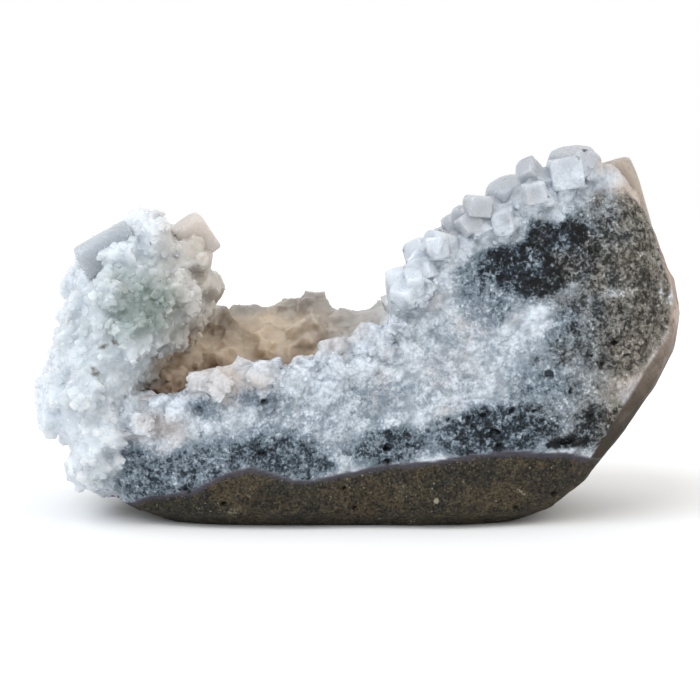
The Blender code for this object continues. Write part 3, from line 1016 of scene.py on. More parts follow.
TOWER_BLOCKS = (
    Block((-58.9, -16.2, 65.3), (6.4, 8.0, 12.5), (0.0, 61.0, 8.0), 0.7, swell=1.9),
    Block((-38.4, -9.0, 67.8), (8.6, 9.4, 10.6), (6.0, -34.0, 12.0), 0.2, 1.0, 0.22, -0.9, 3.0),
    Block((-40.0, -10.4, 61.2), (9.4, 9.4, 9.6), (6.0, 16.0, 12.0), 0.1, 0.5, swell=0.5, worn=2.8),
)
CREST_BLOCKS = (
    Block((12.6, -22.0, 54.0), (6.8, 8.0, 14.0), (0.0, -10.0, 12.0), worn=1.4),
    Block((26.5, -16.0, 70.6), (7.4, 7.8, 8.0), (-6.0, -30.0, 8.0), 0.12, worn=1.1),
    Block((37.5, -17.0, 77.6), (7.8, 8.0, 8.0), (10.0, -26.0, 28.0), 0.16, worn=1.1),
    Block((53.0, -14.0, 83.4), (8.6, 9.0, 11.0), (4.0, -14.0, 42.0), 0.16, worn=0.9),
    Block((64.6, -16.0, 77.0), (7.6, 9.4, 19.0), (-4.0, -16.0, 8.0), 0.2, 1.0, worn=1.6),
)
BLOCKS = {Zone.TOWER.value: TOWER_BLOCKS, Zone.CREST.value: CREST_BLOCKS}
ALL_BLOCKS = (*TOWER_BLOCKS, *CREST_BLOCKS)


@dataclass
class Ground:
    """What the specimen is made of at many places at once.

    The spots and lines are where they are in the photograph, seen from the front. A border
    says where one kind of ground, one tint or the room for small crystals starts or ends.
    """

    points: np.ndarray
    noise: Noise = field(default_factory=lambda: Noise(23))
    dark_zones: tuple[Patch, ...] = (
        Patch(45.0, 65.5, 16.5, 9.5, 22.0, 1.0),
        Patch(66.0, 72.0, 3.6, 6.5, 20.0, 0.62, 0.5),
        Patch(31.5, 59.0, 8.5, 10.0, 20.0, 0.5),
        Patch(70.0, 56.0, 6.0, 19.0, -12.0, 0.66),
        Patch(26.0, 44.0, 14.0, 8.0, 0.0, 0.14, 0.7),
        Patch(62.0, 66.5, 13.5, 15.0, -20.0, 0.70),
        Patch(60.0, 48.0, 15.5, 12.0, 12.0, 0.68),
        Patch(50.0, 35.0, 14.0, 8.0, 12.0, 0.46),
        Patch(51.0, 20.9, 6.0, 1.6, 6.0, 1.35),
        Patch(57.0, 24.0, 7.0, 7.0, 40.0, 0.8),
        Patch(33.0, 23.5, 19.0, 6.5, 6.0, 0.78),
        Patch(8.0, 20.0, 11.0, 4.5, 10.0, 0.70),
        Patch(-26.0, 15.8, 25.0, 7.6, 8.0, 0.67),
        Patch(-21.0, 31.2, 6.5, 2.2, -6.0, 0.42, 0.8),
        Patch(-35.0, 29.2, 4.0, 2.2, -30.0, 0.5, 0.8),
        Patch(-22.0, 18.0, 5.0, 2.6, 0.0, 0.85, 0.6),
        Patch(-50.0, 11.0, 8.0, 7.0, 0.0, 0.62),
        Patch(4.0, 30.0, 10.0, 7.0, 0.0, 0.26, 0.7),
        Patch(-10.0, 25.0, 14.0, 6.0, 0.0, 0.24, 0.7),
        Patch(20.0, 33.0, 12.0, 8.0, 0.0, 0.16, 0.7),
        Patch(40.0, 42.0, 10.0, 6.0, 0.0, 0.2, 0.7),
    )
    blush_zones: tuple[Patch, ...] = (
        Patch(-45.0, 25.0, 6.0, 3.0, -20.0, 0.5, 0.8),
        Patch(-30.0, 36.0, 11.0, 4.0, 4.0, 0.45, 0.6),
        Patch(22.0, 38.0, 8.0, 4.0, 0.0, 0.2, 0.8),
        Patch(66.0, 40.0, 6.0, 10.0, -30.0, 0.8, 0.6),
        Patch(67.0, 76.0, 5.5, 11.0, -10.0, 1.0, 0.5),
    )
    green_zones: tuple[Patch, ...] = (
        Patch(-50.0, 52.5, 8.5, 8.5, 0.0, 0.68, 0.8, far=0.0),
        Patch(-58.0, 44.0, 10.0, 14.0, 0.0, 0.2, 0.8, far=0.0),
    )
    olive_zones: tuple[Patch, ...] = (
        Patch(-57.0, 44.0, 2.6, 0.8, 20.0, 0.7, 0.8),
        Patch(-60.3, 37.8, 0.9, 1.6, 20.0, 0.75, 0.8),
        Patch(-48.5, 29.5, 4.0, 1.2, -16.0, 1.0, 0.6),
        Patch(-6.5, 29.5, 2.0, 1.0, 0.0, 0.7, 0.6),
    )
    pits: tuple[Hole, ...] = (
        (45.9, 37.0, 1.0), (33.2, 23.4, 1.2), (27.2, 27.2, 0.7), (30.3, 27.2, 0.7),
        (22.3, 26.3, 0.6), (27.9, 25.1, 0.6), (37.3, 28.6, 0.6), (42.4, 28.4, 0.6),
        (61.2, 44.3, 0.7), (64.0, 41.0, 0.6), (55.8, 41.2, 0.55), (57.9, 39.1, 0.55),
        (50.9, 32.8, 0.5), (56.0, 27.0, 0.6), (33.8, 20.2, 1.0), (-21.1, 30.7, 1.2),
        (-21.1, 18.3, 1.2), (-39.4, 9.6, 1.0), (8.0, 19.7, 1.0), (8.0, 16.6, 0.7),
        (47.8, 7.5, 0.8), (38.4, 4.9, 0.7), (16.8, 8.6, 0.5), (-2.0, 10.2, 0.45),
        (0.6, 5.4, 0.6), (-30.5, 6.4, 0.5),
    )
    seam_front: tuple[Range, ...] = (
        (-66.0, -1.0), (-60.0, 2.2), (-54.4, 4.4), (-48.0, 7.6), (-39.0, 8.9), (-34.2, 11.4),
        (-29.1, 13.9), (-24.0, 15.3), (-20.0, 14.4), (-15.0, 12.5), (-10.3, 12.0), (-4.5, 13.1),
        (7.7, 15.8), (19.0, 16.7), (28.0, 18.2), (36.8, 18.9), (50.4, 18.0), (57.0, 16.0),
        (80.0, 10.0),
    )
    seam_back: tuple[Range, ...] = (
        (-62.0, 16.0), (-42.0, 23.0), (-22.0, 19.5), (0.0, 25.0), (22.0, 23.0),
        (42.0, 30.0), (60.0, 37.0), (74.0, 44.0),
    )
    front_edge: tuple[Range, ...] = (
        (9.4, 51.0), (17.3, 56.5), (24.8, 61.4), (33.3, 66.8), (40.3, 71.0),
        (45.5, 74.8), (54.9, 75.6), (68.9, 71.6), (84.1, 68.4),
    )
    scratches: tuple[Patch, ...] = (
        Patch(11.5, 9.0, 3.4, 3.6, 0.0, 0.5, 0.6),
        Patch(-27.0, 5.0, 3.6, 2.2, 20.0, 0.45, 0.6),
        Patch(40.0, 8.6, 3.2, 0.35, -42.0, 0.8, 0.5),
        Patch(19.5, 7.2, 0.8, 0.8, 0.0, 0.9, 0.4),
        Patch(-24.5, 8.6, 1.0, 0.6, -50.0, 0.7, 0.6),
        Patch(-28.0, 4.6, 2.4, 1.2, 40.0, 0.6, 0.7),
    )
    hollow_middle: Point = (-18.0, 4.0, 33.0)
    hollow_half: Point = (38.0, 44.0, 24.0)
    furthest: float = 12.0
    lip_front: Fade = Fade(Axis.BACK, -25.0, -20.0, 2.0)
    bowl_front: Fade = Fade(Axis.BACK, -24.0, -19.0, 2.0)
    end_face: Fade = Fade(Axis.ALONG, 56.0, 61.0)
    end_top: Fade = Fade(Axis.UP, 76.0, 81.0, 2.0)
    front_to_back: Fade = Fade(Axis.BACK, -26.0, 26.0)
    seam_blur: float = 0.35
    dark_end: Fade = Fade(Axis.ALONG, 56.0, 62.0)
    dark_top: Fade = Fade(Axis.UP, 76.0, 82.0)
    crystal_foot: Fade = Fade(Axis.UP, 30.0, 40.0)
    pit_front: float = -24.0
    pit_depth: float = 1.3
    dome_sizes: Range = (6.5, 2.3)
    floor: Fade = Fade(Axis.UP, 0.2, 1.6)
    # warm_light_side is where the painted, warmer light of the right-hand end comes in.
    warm_light_side: Fade = Fade(Axis.ALONG, 40.0, 68.0, 12.0)
    rind_top: Fade = Fade(Axis.UP, 22.0, 60.0, 5.0)
    scratch_front: float = -20.0
    wall_front: Fade = Fade(Axis.BACK, -26.0, -18.0, 3.0)
    wall_left: Fade = Fade(Axis.ALONG, -50.0, -36.0, 6.0)
    wall_right: Fade = Fade(Axis.ALONG, 4.0, 20.0, 6.0)
    wall_back: Fade = Fade(Axis.BACK, -10.0, 4.0, 4.0)
    wall_top: Fade = Fade(Axis.UP, 54.0, 60.0)
    rim_front: Fade = Fade(Axis.BACK, -30.0, -18.0, 3.0)
    rim_foot: Fade = Fade(Axis.UP, 42.0, 50.0, 3.0)
    # haze_and_shade_left is where the partly painted shade of the hollow's back wall starts.
    haze_and_shade_left: Fade = Fade(Axis.ALONG, -24.0, 0.0, 6.0)
    # beige_left, beige_right and beige_foot bound the painted shade on the tower's right-hand side.
    beige_left: Fade = Fade(Axis.ALONG, -54.0, -41.0, 6.0)
    beige_right: Fade = Fade(Axis.ALONG, -32.0, -28.0)
    beige_foot: Fade = Fade(Axis.UP, 36.0, 46.0)
    grey_foot: Fade = Fade(Axis.UP, 58.0, 70.0, 6.0)
    stain_right: Fade = Fade(Axis.ALONG, -12.0, 4.0, 4.0)
    deep_top: Fade = Fade(Axis.UP, 26.0, 40.0)
    clear_foot: Fade = Fade(Axis.UP, 58.0, 66.0)
    olive_front: float = -5.0
    tower_inside: Fade = Fade(Axis.ALONG, -37.0, -34.0)
    bowl_rim: Fade = Fade(Axis.UP, 42.0, 47.0)
    crest_foot: Fade = Fade(Axis.UP, 50.0, 55.0)
    druse_end: Fade = Fade(Axis.ALONG, 54.0, 58.0)
    druse_foot: Fade = Fade(Axis.UP, 2.0, 5.0)

    def past(self, border: Fade) -> np.ndarray:
        """Says how far each point is past a border, from 0 to 1."""
        return border.share(self.points, self.sway)

    def short_of(self, border: Fade) -> np.ndarray:
        """Says how far each point is short of a border, from 1 to 0."""
        return 1.0 - self.past(border)

    def gap(self, *nodes: str) -> np.ndarray:
        """Measures how far each point is from the nearest of some CAD solids."""
        return np.min([self.gaps[node] for node in nodes], axis=0)

    @functools.cached_property
    def gaps(self) -> dict[str, np.ndarray]:
        """How far each point is from each CAD solid, up to the furthest that matters."""
        nodes = (*STONES, *CRUSTS)
        return {node: nearest(solid_tree(node), self.points, self.furthest) for node in nodes}

    @functools.cached_property
    def sway(self) -> np.ndarray:
        """Swells that make the zones' edges uneven."""
        return self.noise.layered(self.points, 7.0, 4)

    @functools.cached_property
    def crust(self) -> np.ndarray:
        """How far each point is into the crystals, in millimetres, and below 0 on rock."""
        return self.gap(*STONES) - self.gap(*CRUSTS)

    @functools.cached_property
    def snow(self) -> np.ndarray:
        """How much of the surface is rock, which fades into the crystals at their root."""
        rim = self.gap(Zone.HOLLOW.value) - self.gap(Zone.TOWER.value, Zone.CREST.value)
        lip = self.short_of(self.lip_front) * (rim < 0.0)
        fading = 1.0 - ease(self.crust + self.sway * 1.5, 1.0, 5.5)
        inside = (1.0 - ease(self.hollow, 0.95, 1.15)) * self.past(self.bowl_front)
        side = self.past(self.end_face) * self.short_of(self.end_top)
        bare = 1.0 - inside * (self.gap(*CRUSTS) < 2.0)
        return np.maximum(np.maximum(fading, lip) * bare, side)

    @functools.cached_property
    def hollow(self) -> np.ndarray:
        """How far each point is from the hollow's middle, as a part of its half sizes."""
        apart = (self.points - np.array(self.hollow_middle)) / np.array(self.hollow_half)
        return np.linalg.norm(apart, axis=1) + self.sway * 0.16

    @functools.cached_property
    def seam(self) -> np.ndarray:
        """The height of the basalt's top over each point."""
        along = self.points[:, 0]
        front = np.interp(along, *zip(*self.seam_front))
        back = np.interp(along, *zip(*self.seam_back))
        height = front + (back - front) * self.past(self.front_to_back)
        return height + self.noise.layered(self.points, 4.0, 2) * 0.25

    @functools.cached_property
    def stone(self) -> np.ndarray:
        """How much of the surface is basalt."""
        blur = self.seam_blur
        return 1.0 - ease(self.points[:, 2], self.seam - blur, self.seam + blur)

    @functools.cached_property
    def dark(self) -> np.ndarray:
        """How dark the quartz is."""
        near_crystals = 1.0 - ease(self.gap(*CRUSTS), 1.2, 3.4)
        near_crystals *= 1.0 - self.past(self.dark_end) * self.short_of(self.dark_top)
        dark = strongest(self.dark_zones, self.points, self.sway * 0.38)
        dark = dark * (1.0 - self.stone) * (1.0 - near_crystals * self.past(self.crystal_foot))
        return dark * (1.0 - ease(self.gap(*STONES), 0.9, 2.0))

    @functools.cached_property
    def rind(self) -> np.ndarray:
        """How much of the surface is the worn skin at the right-hand side."""
        edge = np.interp(self.points[:, 2], *zip(*self.front_edge))
        along = self.points[:, 0] + self.sway * 0.8
        return ease(along, edge - 0.4, edge + 0.5) * (1.0 - self.stone * 0.6)

    @functools.cached_property
    def pit(self) -> np.ndarray:
        """How deep each point is in a gas hole of the front face."""
        points = self.points
        inside = np.zeros(len(points))
        ragged = self.noise.soft(points, 1.1) * 0.5 + self.noise.soft(points, 2.2) * 0.4
        front = points[:, 1] < self.pit_front
        for along, up, radius in self.pits:
            reach = np.hypot(points[:, 0] - along, (points[:, 2] - up) * 1.2) + ragged * radius
            hole = 1.0 - ease(reach, radius * 0.5, radius * 1.15)
            inside = np.maximum(inside, hole * front)
        return inside

    @functools.cached_property
    def domes(self) -> tuple[np.ndarray, np.ndarray]:
        """How high each point is on large and on small domes, from 0 in a crease to 1."""
        points, noise = self.points, self.noise
        shifts = [noise.soft(points + shift, 4.0) for shift in (0.0, 50.0, 90.0)]
        bent = points + np.stack(shifts, axis=1) * 1.2
        found = (noise.grains(bent, size) for size in self.dome_sizes)
        large, small = (np.sqrt(np.clip(far - near, 0.0, 1.0)) for near, far, _ in found)
        return large, small

    @functools.cached_property
    def fluffy(self) -> np.ndarray:
        """How much of the surface is loose white druse."""
        return 1.0 - ease(self.dark, 0.2, 0.7)

    @functools.cached_property
    def lumps(self) -> np.ndarray:
        """Height of the rock's lumps and grains."""
        points, noise = self.points, self.noise
        large, small = self.domes
        smooth = np.maximum(self.rind, self.stone)
        grain, _, high = noise.grains(points, 1.25)
        sugar = (high - 0.5) * 0.5 * (1.0 - ease(grain, 0.3, 0.75))
        sugar = sugar + noise.layered(points, 3.0, 2) * 0.25
        bare = 0.35 + 0.65 * ease(self.dark, 0.0, 0.5)
        heights = (large + small * 0.5 - 0.8) * self.fluffy + sugar * bare
        return heights * (1.0 - smooth) + noise.layered(points, 5.0, 3) * 0.22 * smooth

    @functools.cached_property
    def buds(self) -> np.ndarray:
        """Height of the crystal crusts' soft buds."""
        large, small = self.domes
        tower, hollow, crest = (self.gap(z.value) for z in (Zone.TOWER, Zone.HOLLOW, Zone.CREST))
        calm = 1.0 - 0.5 * (crest < np.minimum(tower, hollow))
        wall = hollow < np.minimum(tower, crest)
        fine = self.noise.layered(self.points, 1.8, 2) * 0.12
        swell = self.noise.layered(self.points, 9.0, 3) * 0.7
        large = large * (0.5 + 0.3 * wall)
        small = small * (0.36 + 0.1 * wall)
        return (large + small - 0.55 - 0.25 * wall + swell) * calm + fine

    def relief(self) -> np.ndarray:
        """Works out how far the carving moves each point out, in millimetres."""
        heights = self.lumps * self.snow + self.buds * (1.0 - self.snow)
        for block in ALL_BLOCKS:
            inside = block.share(self.points, block.root_margin, 0.3)
            heights = heights * (1.0 - inside) - inside * block.root_depth
        return (heights - self.pit * self.pit_depth) * self.past(self.floor)

    def rock_marks(self) -> dict[str, np.ndarray]:
        """Works out what the rock's finish reads, a number from 0 to 1 for each point."""
        points, sway = self.points, self.sway
        below = self.seam - points[:, 2]
        line = ease(below, -0.4, 0.1)
        line = line * (1.0 - ease(below + self.noise.soft(points, 3.0) * 0.4, 0.5, 1.5))
        large, small = (1.0 - ease(dome, 0.1, 0.5) for dome in self.domes)
        scratched = strongest(self.scratches, points, sway * 0.4)
        return {
            "snow": self.snow,
            "seam": line * (1.0 - self.rind) * 0.85,
            "dark": self.dark,
            "stone": self.stone,
            "rind": self.rind,
            # pit carves the gas holes and also paints shade in them.
            "pit": self.pit,
            # Painted shade: the crease mark is high in the creases between the druse's domes, where
            # the finish greys the white druse.
            "crease": (large * 0.7 + small * 0.5) * self.fluffy,
            # Painted light: warm_light rises towards the right-hand end, where the grains are
            # tinted by the warmer light there.
            "warm_light": self.past(self.warm_light_side),
            "high": self.past(self.rind_top),
            "blush": strongest(self.blush_zones, points, self.wobble),
            "scratch": scratched * (points[:, 1] < self.scratch_front),
        }

    def crystal_marks(self) -> dict[str, np.ndarray]:
        """Works out what the crystals' finish reads, a number from 0 to 1 for each point."""
        points, sway, wobble = self.points, self.sway, self.wobble
        front = self.past(self.wall_front)
        middle = self.past(self.wall_left) * self.short_of(self.wall_right)
        deep = self.past(self.wall_back) * self.short_of(self.wall_top)
        # Partly painted shade on the hollow's rim (top) and back wall (back).
        top = middle * 0.95 * self.past(self.rim_front) * self.past(self.rim_foot)
        back = 0.68 * front * deep * self.past(self.haze_and_shade_left)
        apart = ease(self.gap(Zone.CREST.value) + sway * 3.5, 0.5, 9.0)
        # Painted shade: the tower's right-hand side, away from the key light, is dulled to a
        # brownish grey.
        tower_side_shade = 0.7 * self.past(self.beige_left) * self.short_of(self.beige_right)
        tower_side_shade = tower_side_shade * self.past(self.beige_foot)
        grey = 0.75 * self.past(self.grey_foot)
        left = np.maximum(np.maximum(back, top) * apart, tower_side_shade)
        stain = (1.0 - ease(self.hollow, 0.76, 1.1)) * front
        olive = strongest(self.olive_zones, points, wobble * 2.0)
        clear = np.where(points[:, 0] > 5.0, 0.3 * self.past(self.clear_foot), 0.08)
        return {
            "stain": stain * (1.0 - 0.7 * self.past(self.stain_right)) * apart,
            "deep": self.short_of(self.deep_top),
            # haze_and_shade: painted shade on the tower's right-hand side, partly painted shade in
            # the hollow, and the crest's own grey.
            "haze_and_shade": np.where(points[:, 0] < 20.0, left, grey),
            "green": strongest(self.green_zones, points, wobble),
            "olive": olive * (points[:, 1] < self.olive_front),
            # Partly painted light: the crystals at the right-hand end take a rosy tint for the
            # warmer light there; the large crystals' rosy is their own pink.
            "rosy": ease(points[:, 0] + wobble * 5.0, 56.0, 61.0) * (points[:, 2] > 40.0),
            "smooth": np.zeros(len(points)),
            "clear": ease(self.crust + sway * 2.0, 2.0, 7.0) * clear,
        }

    @functools.cached_property
    def wobble(self) -> np.ndarray:
        """Swells that make the edges of the tinted spots uneven."""
        return self.noise.layered(self.points, 5.0, 3) * 0.4

    def marks(self) -> dict[str, np.ndarray]:
        """Works out all that a finish reads, with the large crystals' own tints."""
        marks = {**self.rock_marks(), **self.crystal_marks()}
        for block in ALL_BLOCKS:
            inside = block.share(self.points, block.skin_margin, 0.6)
            marks["rosy"] = np.maximum(marks["rosy"], inside * block.rosy)
            marks["clear"] = np.maximum(marks["clear"], inside * block.clear)
            marks["smooth"] = np.maximum(marks["smooth"], inside)
            marks["snow"] = marks["snow"] * (1.0 - inside * (block.clear > 0.0))
        return marks

    def room(self, zone: Zone) -> np.ndarray:
        """Gives the chance of a small crystal at each point of a druse's ground."""
        if zone is Zone.BELT:
            chance = ease(self.crust, -7.0, -1.0) * (1.0 - ease(self.crust, 2.0, 5.0))
            chance = chance * (1.0 - ease(self.dark, 0.05, 0.4))
            chance *= (1.0 - self.stone) * (1.0 - self.rind) * ease(self.snow, 0.4, 0.8) * 0.7
        else:
            others = [node for node in CRUSTS if node != zone.value]
            gap = self.gap(zone.value)
            own = (self.gap(*others) > gap) & (self.gap(*STONES) > gap)
            chance = own * (1.0 - self.snow)
            if zone is Zone.TOWER:
                chance = chance * self.short_of(self.tower_inside)
            elif zone is Zone.HOLLOW:
                chance = chance * self.short_of(self.bowl_rim)
            else:
                chance = chance * self.past(self.crest_foot)
        for block in ALL_BLOCKS:
            chance = chance * (1.0 - block.share(self.points, 1.4, 0.8))
        return chance * self.short_of(self.druse_end) * self.past(self.druse_foot)


def spread(
    mesh: bpy.types.Mesh,
    spacing: float,
    rng: np.random.Generator,
    keep: Keep,
    density: float = 2.0,
) -> tuple[np.ndarray, np.ndarray]:
    """Spreads places evenly over a mesh.

    Args:
        mesh: The mesh, in metres.
        spacing: The least distance between two places, in millimetres.
        rng: Where the random numbers come from.
        keep: Gives the chance that a place is kept.
        density: How many places are tried on each square of the spacing.

    Returns:
        The places in millimetres and the surface's normals there.
    """
    mesh.calc_loop_triangles()
    corners = np.empty(len(mesh.loop_triangles) * 3, np.int32)
    mesh.loop_triangles.foreach_get("vertices", corners)
    own = read(mesh.vertices, "co")[corners.reshape(-1, 3)] / MM
    cross = np.cross(own[:, 1] - own[:, 0], own[:, 2] - own[:, 0])
    areas = np.linalg.norm(cross, axis=1) / 2
    tries = int(areas.sum() / spacing**2 * density)
    pick = rng.choice(len(areas), tries, p=areas / areas.sum())
    u, v = rng.random(tries), rng.random(tries)
    flip = u + v > 1
    u[flip], v[flip] = 1 - u[flip], 1 - v[flip]
    first, second, third = own[pick, 0], own[pick, 1], own[pick, 2]
    places = first + (second - first) * u[:, None] + (third - first) * v[:, None]
    facing = cross[pick] / np.maximum(areas[pick, None] * 2, 1e-9)
    chosen = rng.random(tries) < keep(places)
    places, facing = places[chosen], facing[chosen]
    kept: list[int] = []
    grid: dict[tuple[int, ...], list[list[float]]] = {}
    cells = np.floor(places / spacing).astype(int).tolist()
    least = spacing * spacing
    for i, ((a, b, c), (x, y, z)) in enumerate(zip(cells, places.tolist())):
        around = (grid.get((a + u, b + v, c + w), ()) for u, v, w in NEIGHBOURS)
        near = (place for cell in around for place in cell)
        if all((x - p) ** 2 + (y - q) ** 2 + (z - r) ** 2 > least for p, q, r in near):
            grid.setdefault((a, b, c), []).append([x, y, z])
            kept.append(i)
    return places[kept], facing[kept]


@dataclass(frozen=True)
class Druse:
    """Small crystals that stand close together on their ground.

    Most are near the smaller width. The cover is the share of places that is taken, and each
    crystal is sunk by a share of its height and leans off the ground's normal at random.
    """

    seed: int
    zone: Zone
    spacing: float
    widths: Range
    cover: float
    sink: float
    lean: float
    corner: float = 0.3
    worn: float = 0.0
    stretch: Range = (0.8, 1.2)
    smallness: float = 1.8

    def grow(self, mesh: bpy.types.Mesh) -> list[Shape]:
        """Stands crystals on a mesh.

        Args:
            mesh: The mesh, in metres.

        Returns:
            The crystals.
        """
        rng = np.random.default_rng(self.seed)
        roots, normals = spread(
            mesh, self.spacing, rng, lambda p: Ground(p).room(self.zone) * self.cover
        )
        count = len(roots)
        least, most = self.widths
        widths = least + (most - least) * rng.random(count) ** self.smallness
        up = normals + rng.normal(0.0, self.lean, (count, 3))
        up /= np.linalg.norm(up, axis=1)[:, None]
        side = np.cross(up, rng.normal(size=(count, 3)))
        side /= np.linalg.norm(side, axis=1)[:, None]
        axes = np.stack([side, np.cross(up, side), up], axis=1)
        scale = rng.uniform(*self.stretch, (count, 3)) * widths[:, None]
        shape, faces = block_shape(self.corner)
        if self.worn:
            shape, faces = wear(shape, faces, self.worn)
        middles = roots + up * scale[:, 2:3] * (0.5 - self.sink)
        points = np.einsum("nvk,nkj->nvj", shape[None] * scale[:, None, :], axes)
        points = points + middles[:, None, :]
        reach = np.linalg.norm(scale, axis=1) / 2
        return [Shape(points[i], faces, middles[i], float(reach[i])) for i in range(count)]


def gather(name: str, shapes: Sequence[Shape]) -> Surface:
    """Puts shapes into one mesh."""
    starts = np.cumsum([0] + [len(s.points) for s in shapes])
    faces = [tuple(v + int(k) for v in face) for s, k in zip(shapes, starts) for face in s.faces]
    return Surface.of(name, np.vstack([s.points for s in shapes]), faces)


def part_out(shapes: Sequence[Shape], gap: float = 0.02) -> list[list[Shape]]:
    """Parts shapes into groups in which no two are closer than a gap in millimetres."""
    groups: list[tuple[list[Shape], list[np.ndarray], list[float]]] = []
    for shape in sorted(shapes, key=lambda s: -s.reach):
        for members, middles, reaches in groups:
            apart = np.linalg.norm(np.array(middles) - shape.middle, axis=1)
            if (apart > np.array(reaches) + shape.reach + gap).all():
                members.append(shape)
                middles.append(shape.middle)
                reaches.append(shape.reach)
                break
        else:
            groups.append(([shape], [shape.middle], [shape.reach]))
    return [members for members, _, _ in groups]


@dataclass
class Body:
    """The whole specimen as one closed mesh, before it is parted."""

    face: float = 0.61
    calm: int = 3
    rough_face: float = 0.8
    rough_calm: int = 2
    close: float = 0.2
    soft: tuple[Druse, ...] = (
        Druse(31, Zone.TOWER, 3.2, (2.6, 4.6), 0.35, 0.8, 0.35),
        Druse(41, Zone.HOLLOW, 2.6, (2.0, 3.4), 0.35, 0.8, 0.4),
        Druse(47, Zone.CREST, 3.2, (2.6, 4.4), 0.2, 0.8, 0.35),
    )
    crisp: tuple[Druse, ...] = (
        Druse(33, Zone.TOWER, 1.5, (1.0, 1.9), 0.4, 0.78, 0.35, corner=0.2),
        Druse(48, Zone.CREST, 4.2, (4.4, 6.8), 0.95, 0.865, 0.15, corner=0.26, worn=0.11),
        Druse(49, Zone.CREST, 2.2, (1.0, 2.0), 0.08, 0.82, 0.4, corner=0.2),
        Druse(51, Zone.BELT, 1.4, (0.8, 1.4), 0.6, 0.7, 0.5, corner=0.2),
    )

    def build(self) -> tuple[Surface, np.ndarray]:
        """Grows the specimen.

        Returns:
            The mesh and the middles of its small crystals.
        """
        solids = [self.solid(node) for node in (*STONES, *CRUSTS)]
        body = gather("body", solids)
        body.recut(self.rough_face, self.rough_calm)
        lumps = [shape for druse in self.soft for shape in druse.grow(body.object.data)]
        body.drop()
        body = gather("body", [*solids, *lumps])
        body.recut(self.face, self.calm)
        body.push(np.full(len(body.points), -self.close))
        body.push(Ground(body.points).relief())
        shapes = [shape for druse in self.crisp for shape in druse.grow(body.object.data)]
        shapes += [block.shape() for block in ALL_BLOCKS]
        groups = part_out(shapes)
        for group in groups:
            tool = gather("group", group)
            body.fuse(tool, Fuse.ADD)
            tool.drop()
        counts = len(lumps), len(shapes), len(groups)
        LOG.info("body: %d soft lumps under %d crystals in %d groups", *counts)
        return body, np.array([shape.middle for shape in (*shapes, *lumps)])

    def solid(self, node: str) -> Shape:
        """Takes a CAD solid, swollen a little so that it closes up with its neighbours."""
        solid = Surface(node, frame["nodes"][node].data.copy())
        solid.push(np.full(len(solid.points), self.close))
        points = solid.points
        faces = [tuple(p.vertices) for p in solid.object.data.polygons]
        solid.drop()
        return Shape(points, faces, points.mean(axis=0), 0.0)


@dataclass
class Piece:
    """One part of the specimen, cut out of the body where its CAD solid is."""

    name: str
    node: str
    slot: str
    finish: Union[RockFinish, CrystalFinish]
    reach: float = 4.0
    cell_face: float = 0.9
    lap: float = 0.25
    clearance: float = 0.4
    slope: float = 1.6
    block_room: float = 0.3
    skin_depth: float = 0.06
    ease_in: float = 0.12
    tone_seed: int = 37

    def build(self, body: Surface, skin: BVHTree, middles: np.ndarray, last: bool) -> None:
        """Cuts the piece out of the body, marks its tints and dresses it.

        What the cut opened up is drawn in a little, so that no two pieces share a face.

        Args:
            body: What is left of the body, which loses this piece.
            skin: A search tree of the whole body's surface.
            middles: The middles of the small crystals.
            last: Whether the piece is all that is left.
        """
        piece = body.twin(self.name)
        if not last:
            cell = self.cell()
            piece.fuse(cell, Fuse.KEEP)
            body.fuse(cell, Fuse.TAKE)
            cell.drop()
        buried = nearest(skin, piece.points, 1.0) > self.skin_depth
        piece.push(buried * -self.ease_in)
        marks = Ground(piece.points).marks()
        if isinstance(self.finish, CrystalFinish):
            marks["tone"] = tones(piece.points, middles, self.tone_seed)
        for name, values in marks.items():
            piece.paint(name, values)
        piece.dress(self.finish.material(), self.node, self.slot)

    def cell(self) -> Surface:
        """Makes the room that the piece fills.

        Returns:
            The CAD solid, swollen where other solids leave space, with its large crystals.
        """
        cell = Surface("cell", frame["nodes"][self.node].data.copy())
        cell.recut(self.cell_face, 1)
        others = [solid_tree(node) for node in (*STONES, *CRUSTS) if node != self.node]
        gap = np.min([nearest(tree, cell.points, self.reach) for tree in others], axis=0)
        free = np.clip((gap - self.clearance) / self.slope, 0.0, 1.0)
        cell.push(free * self.reach + self.lap)
        for block in BLOCKS.get(self.node, ()):
            room = gather("room", [block.shape(self.block_room)])
            cell.fuse(room, Fuse.ADD)
            room.drop()
        return cell


def tones(points: np.ndarray, middles: np.ndarray, seed: int) -> np.ndarray:
    """Gives each crystal a tone of its own and spreads it over the vertices nearest to it.

    Args:
        points: The vertices in millimetres.
        middles: The crystals' middles.
        seed: The seed of the tones.

    Returns:
        A number from 0 to 1 for each vertex.
    """
    tree = KDTree(len(middles))
    for i, middle in enumerate(middles):
        tree.insert(middle, i)
    tree.balance()
    values = np.random.default_rng(seed).random(len(middles))
    return np.array([values[tree.find(p)[1]] for p in points])


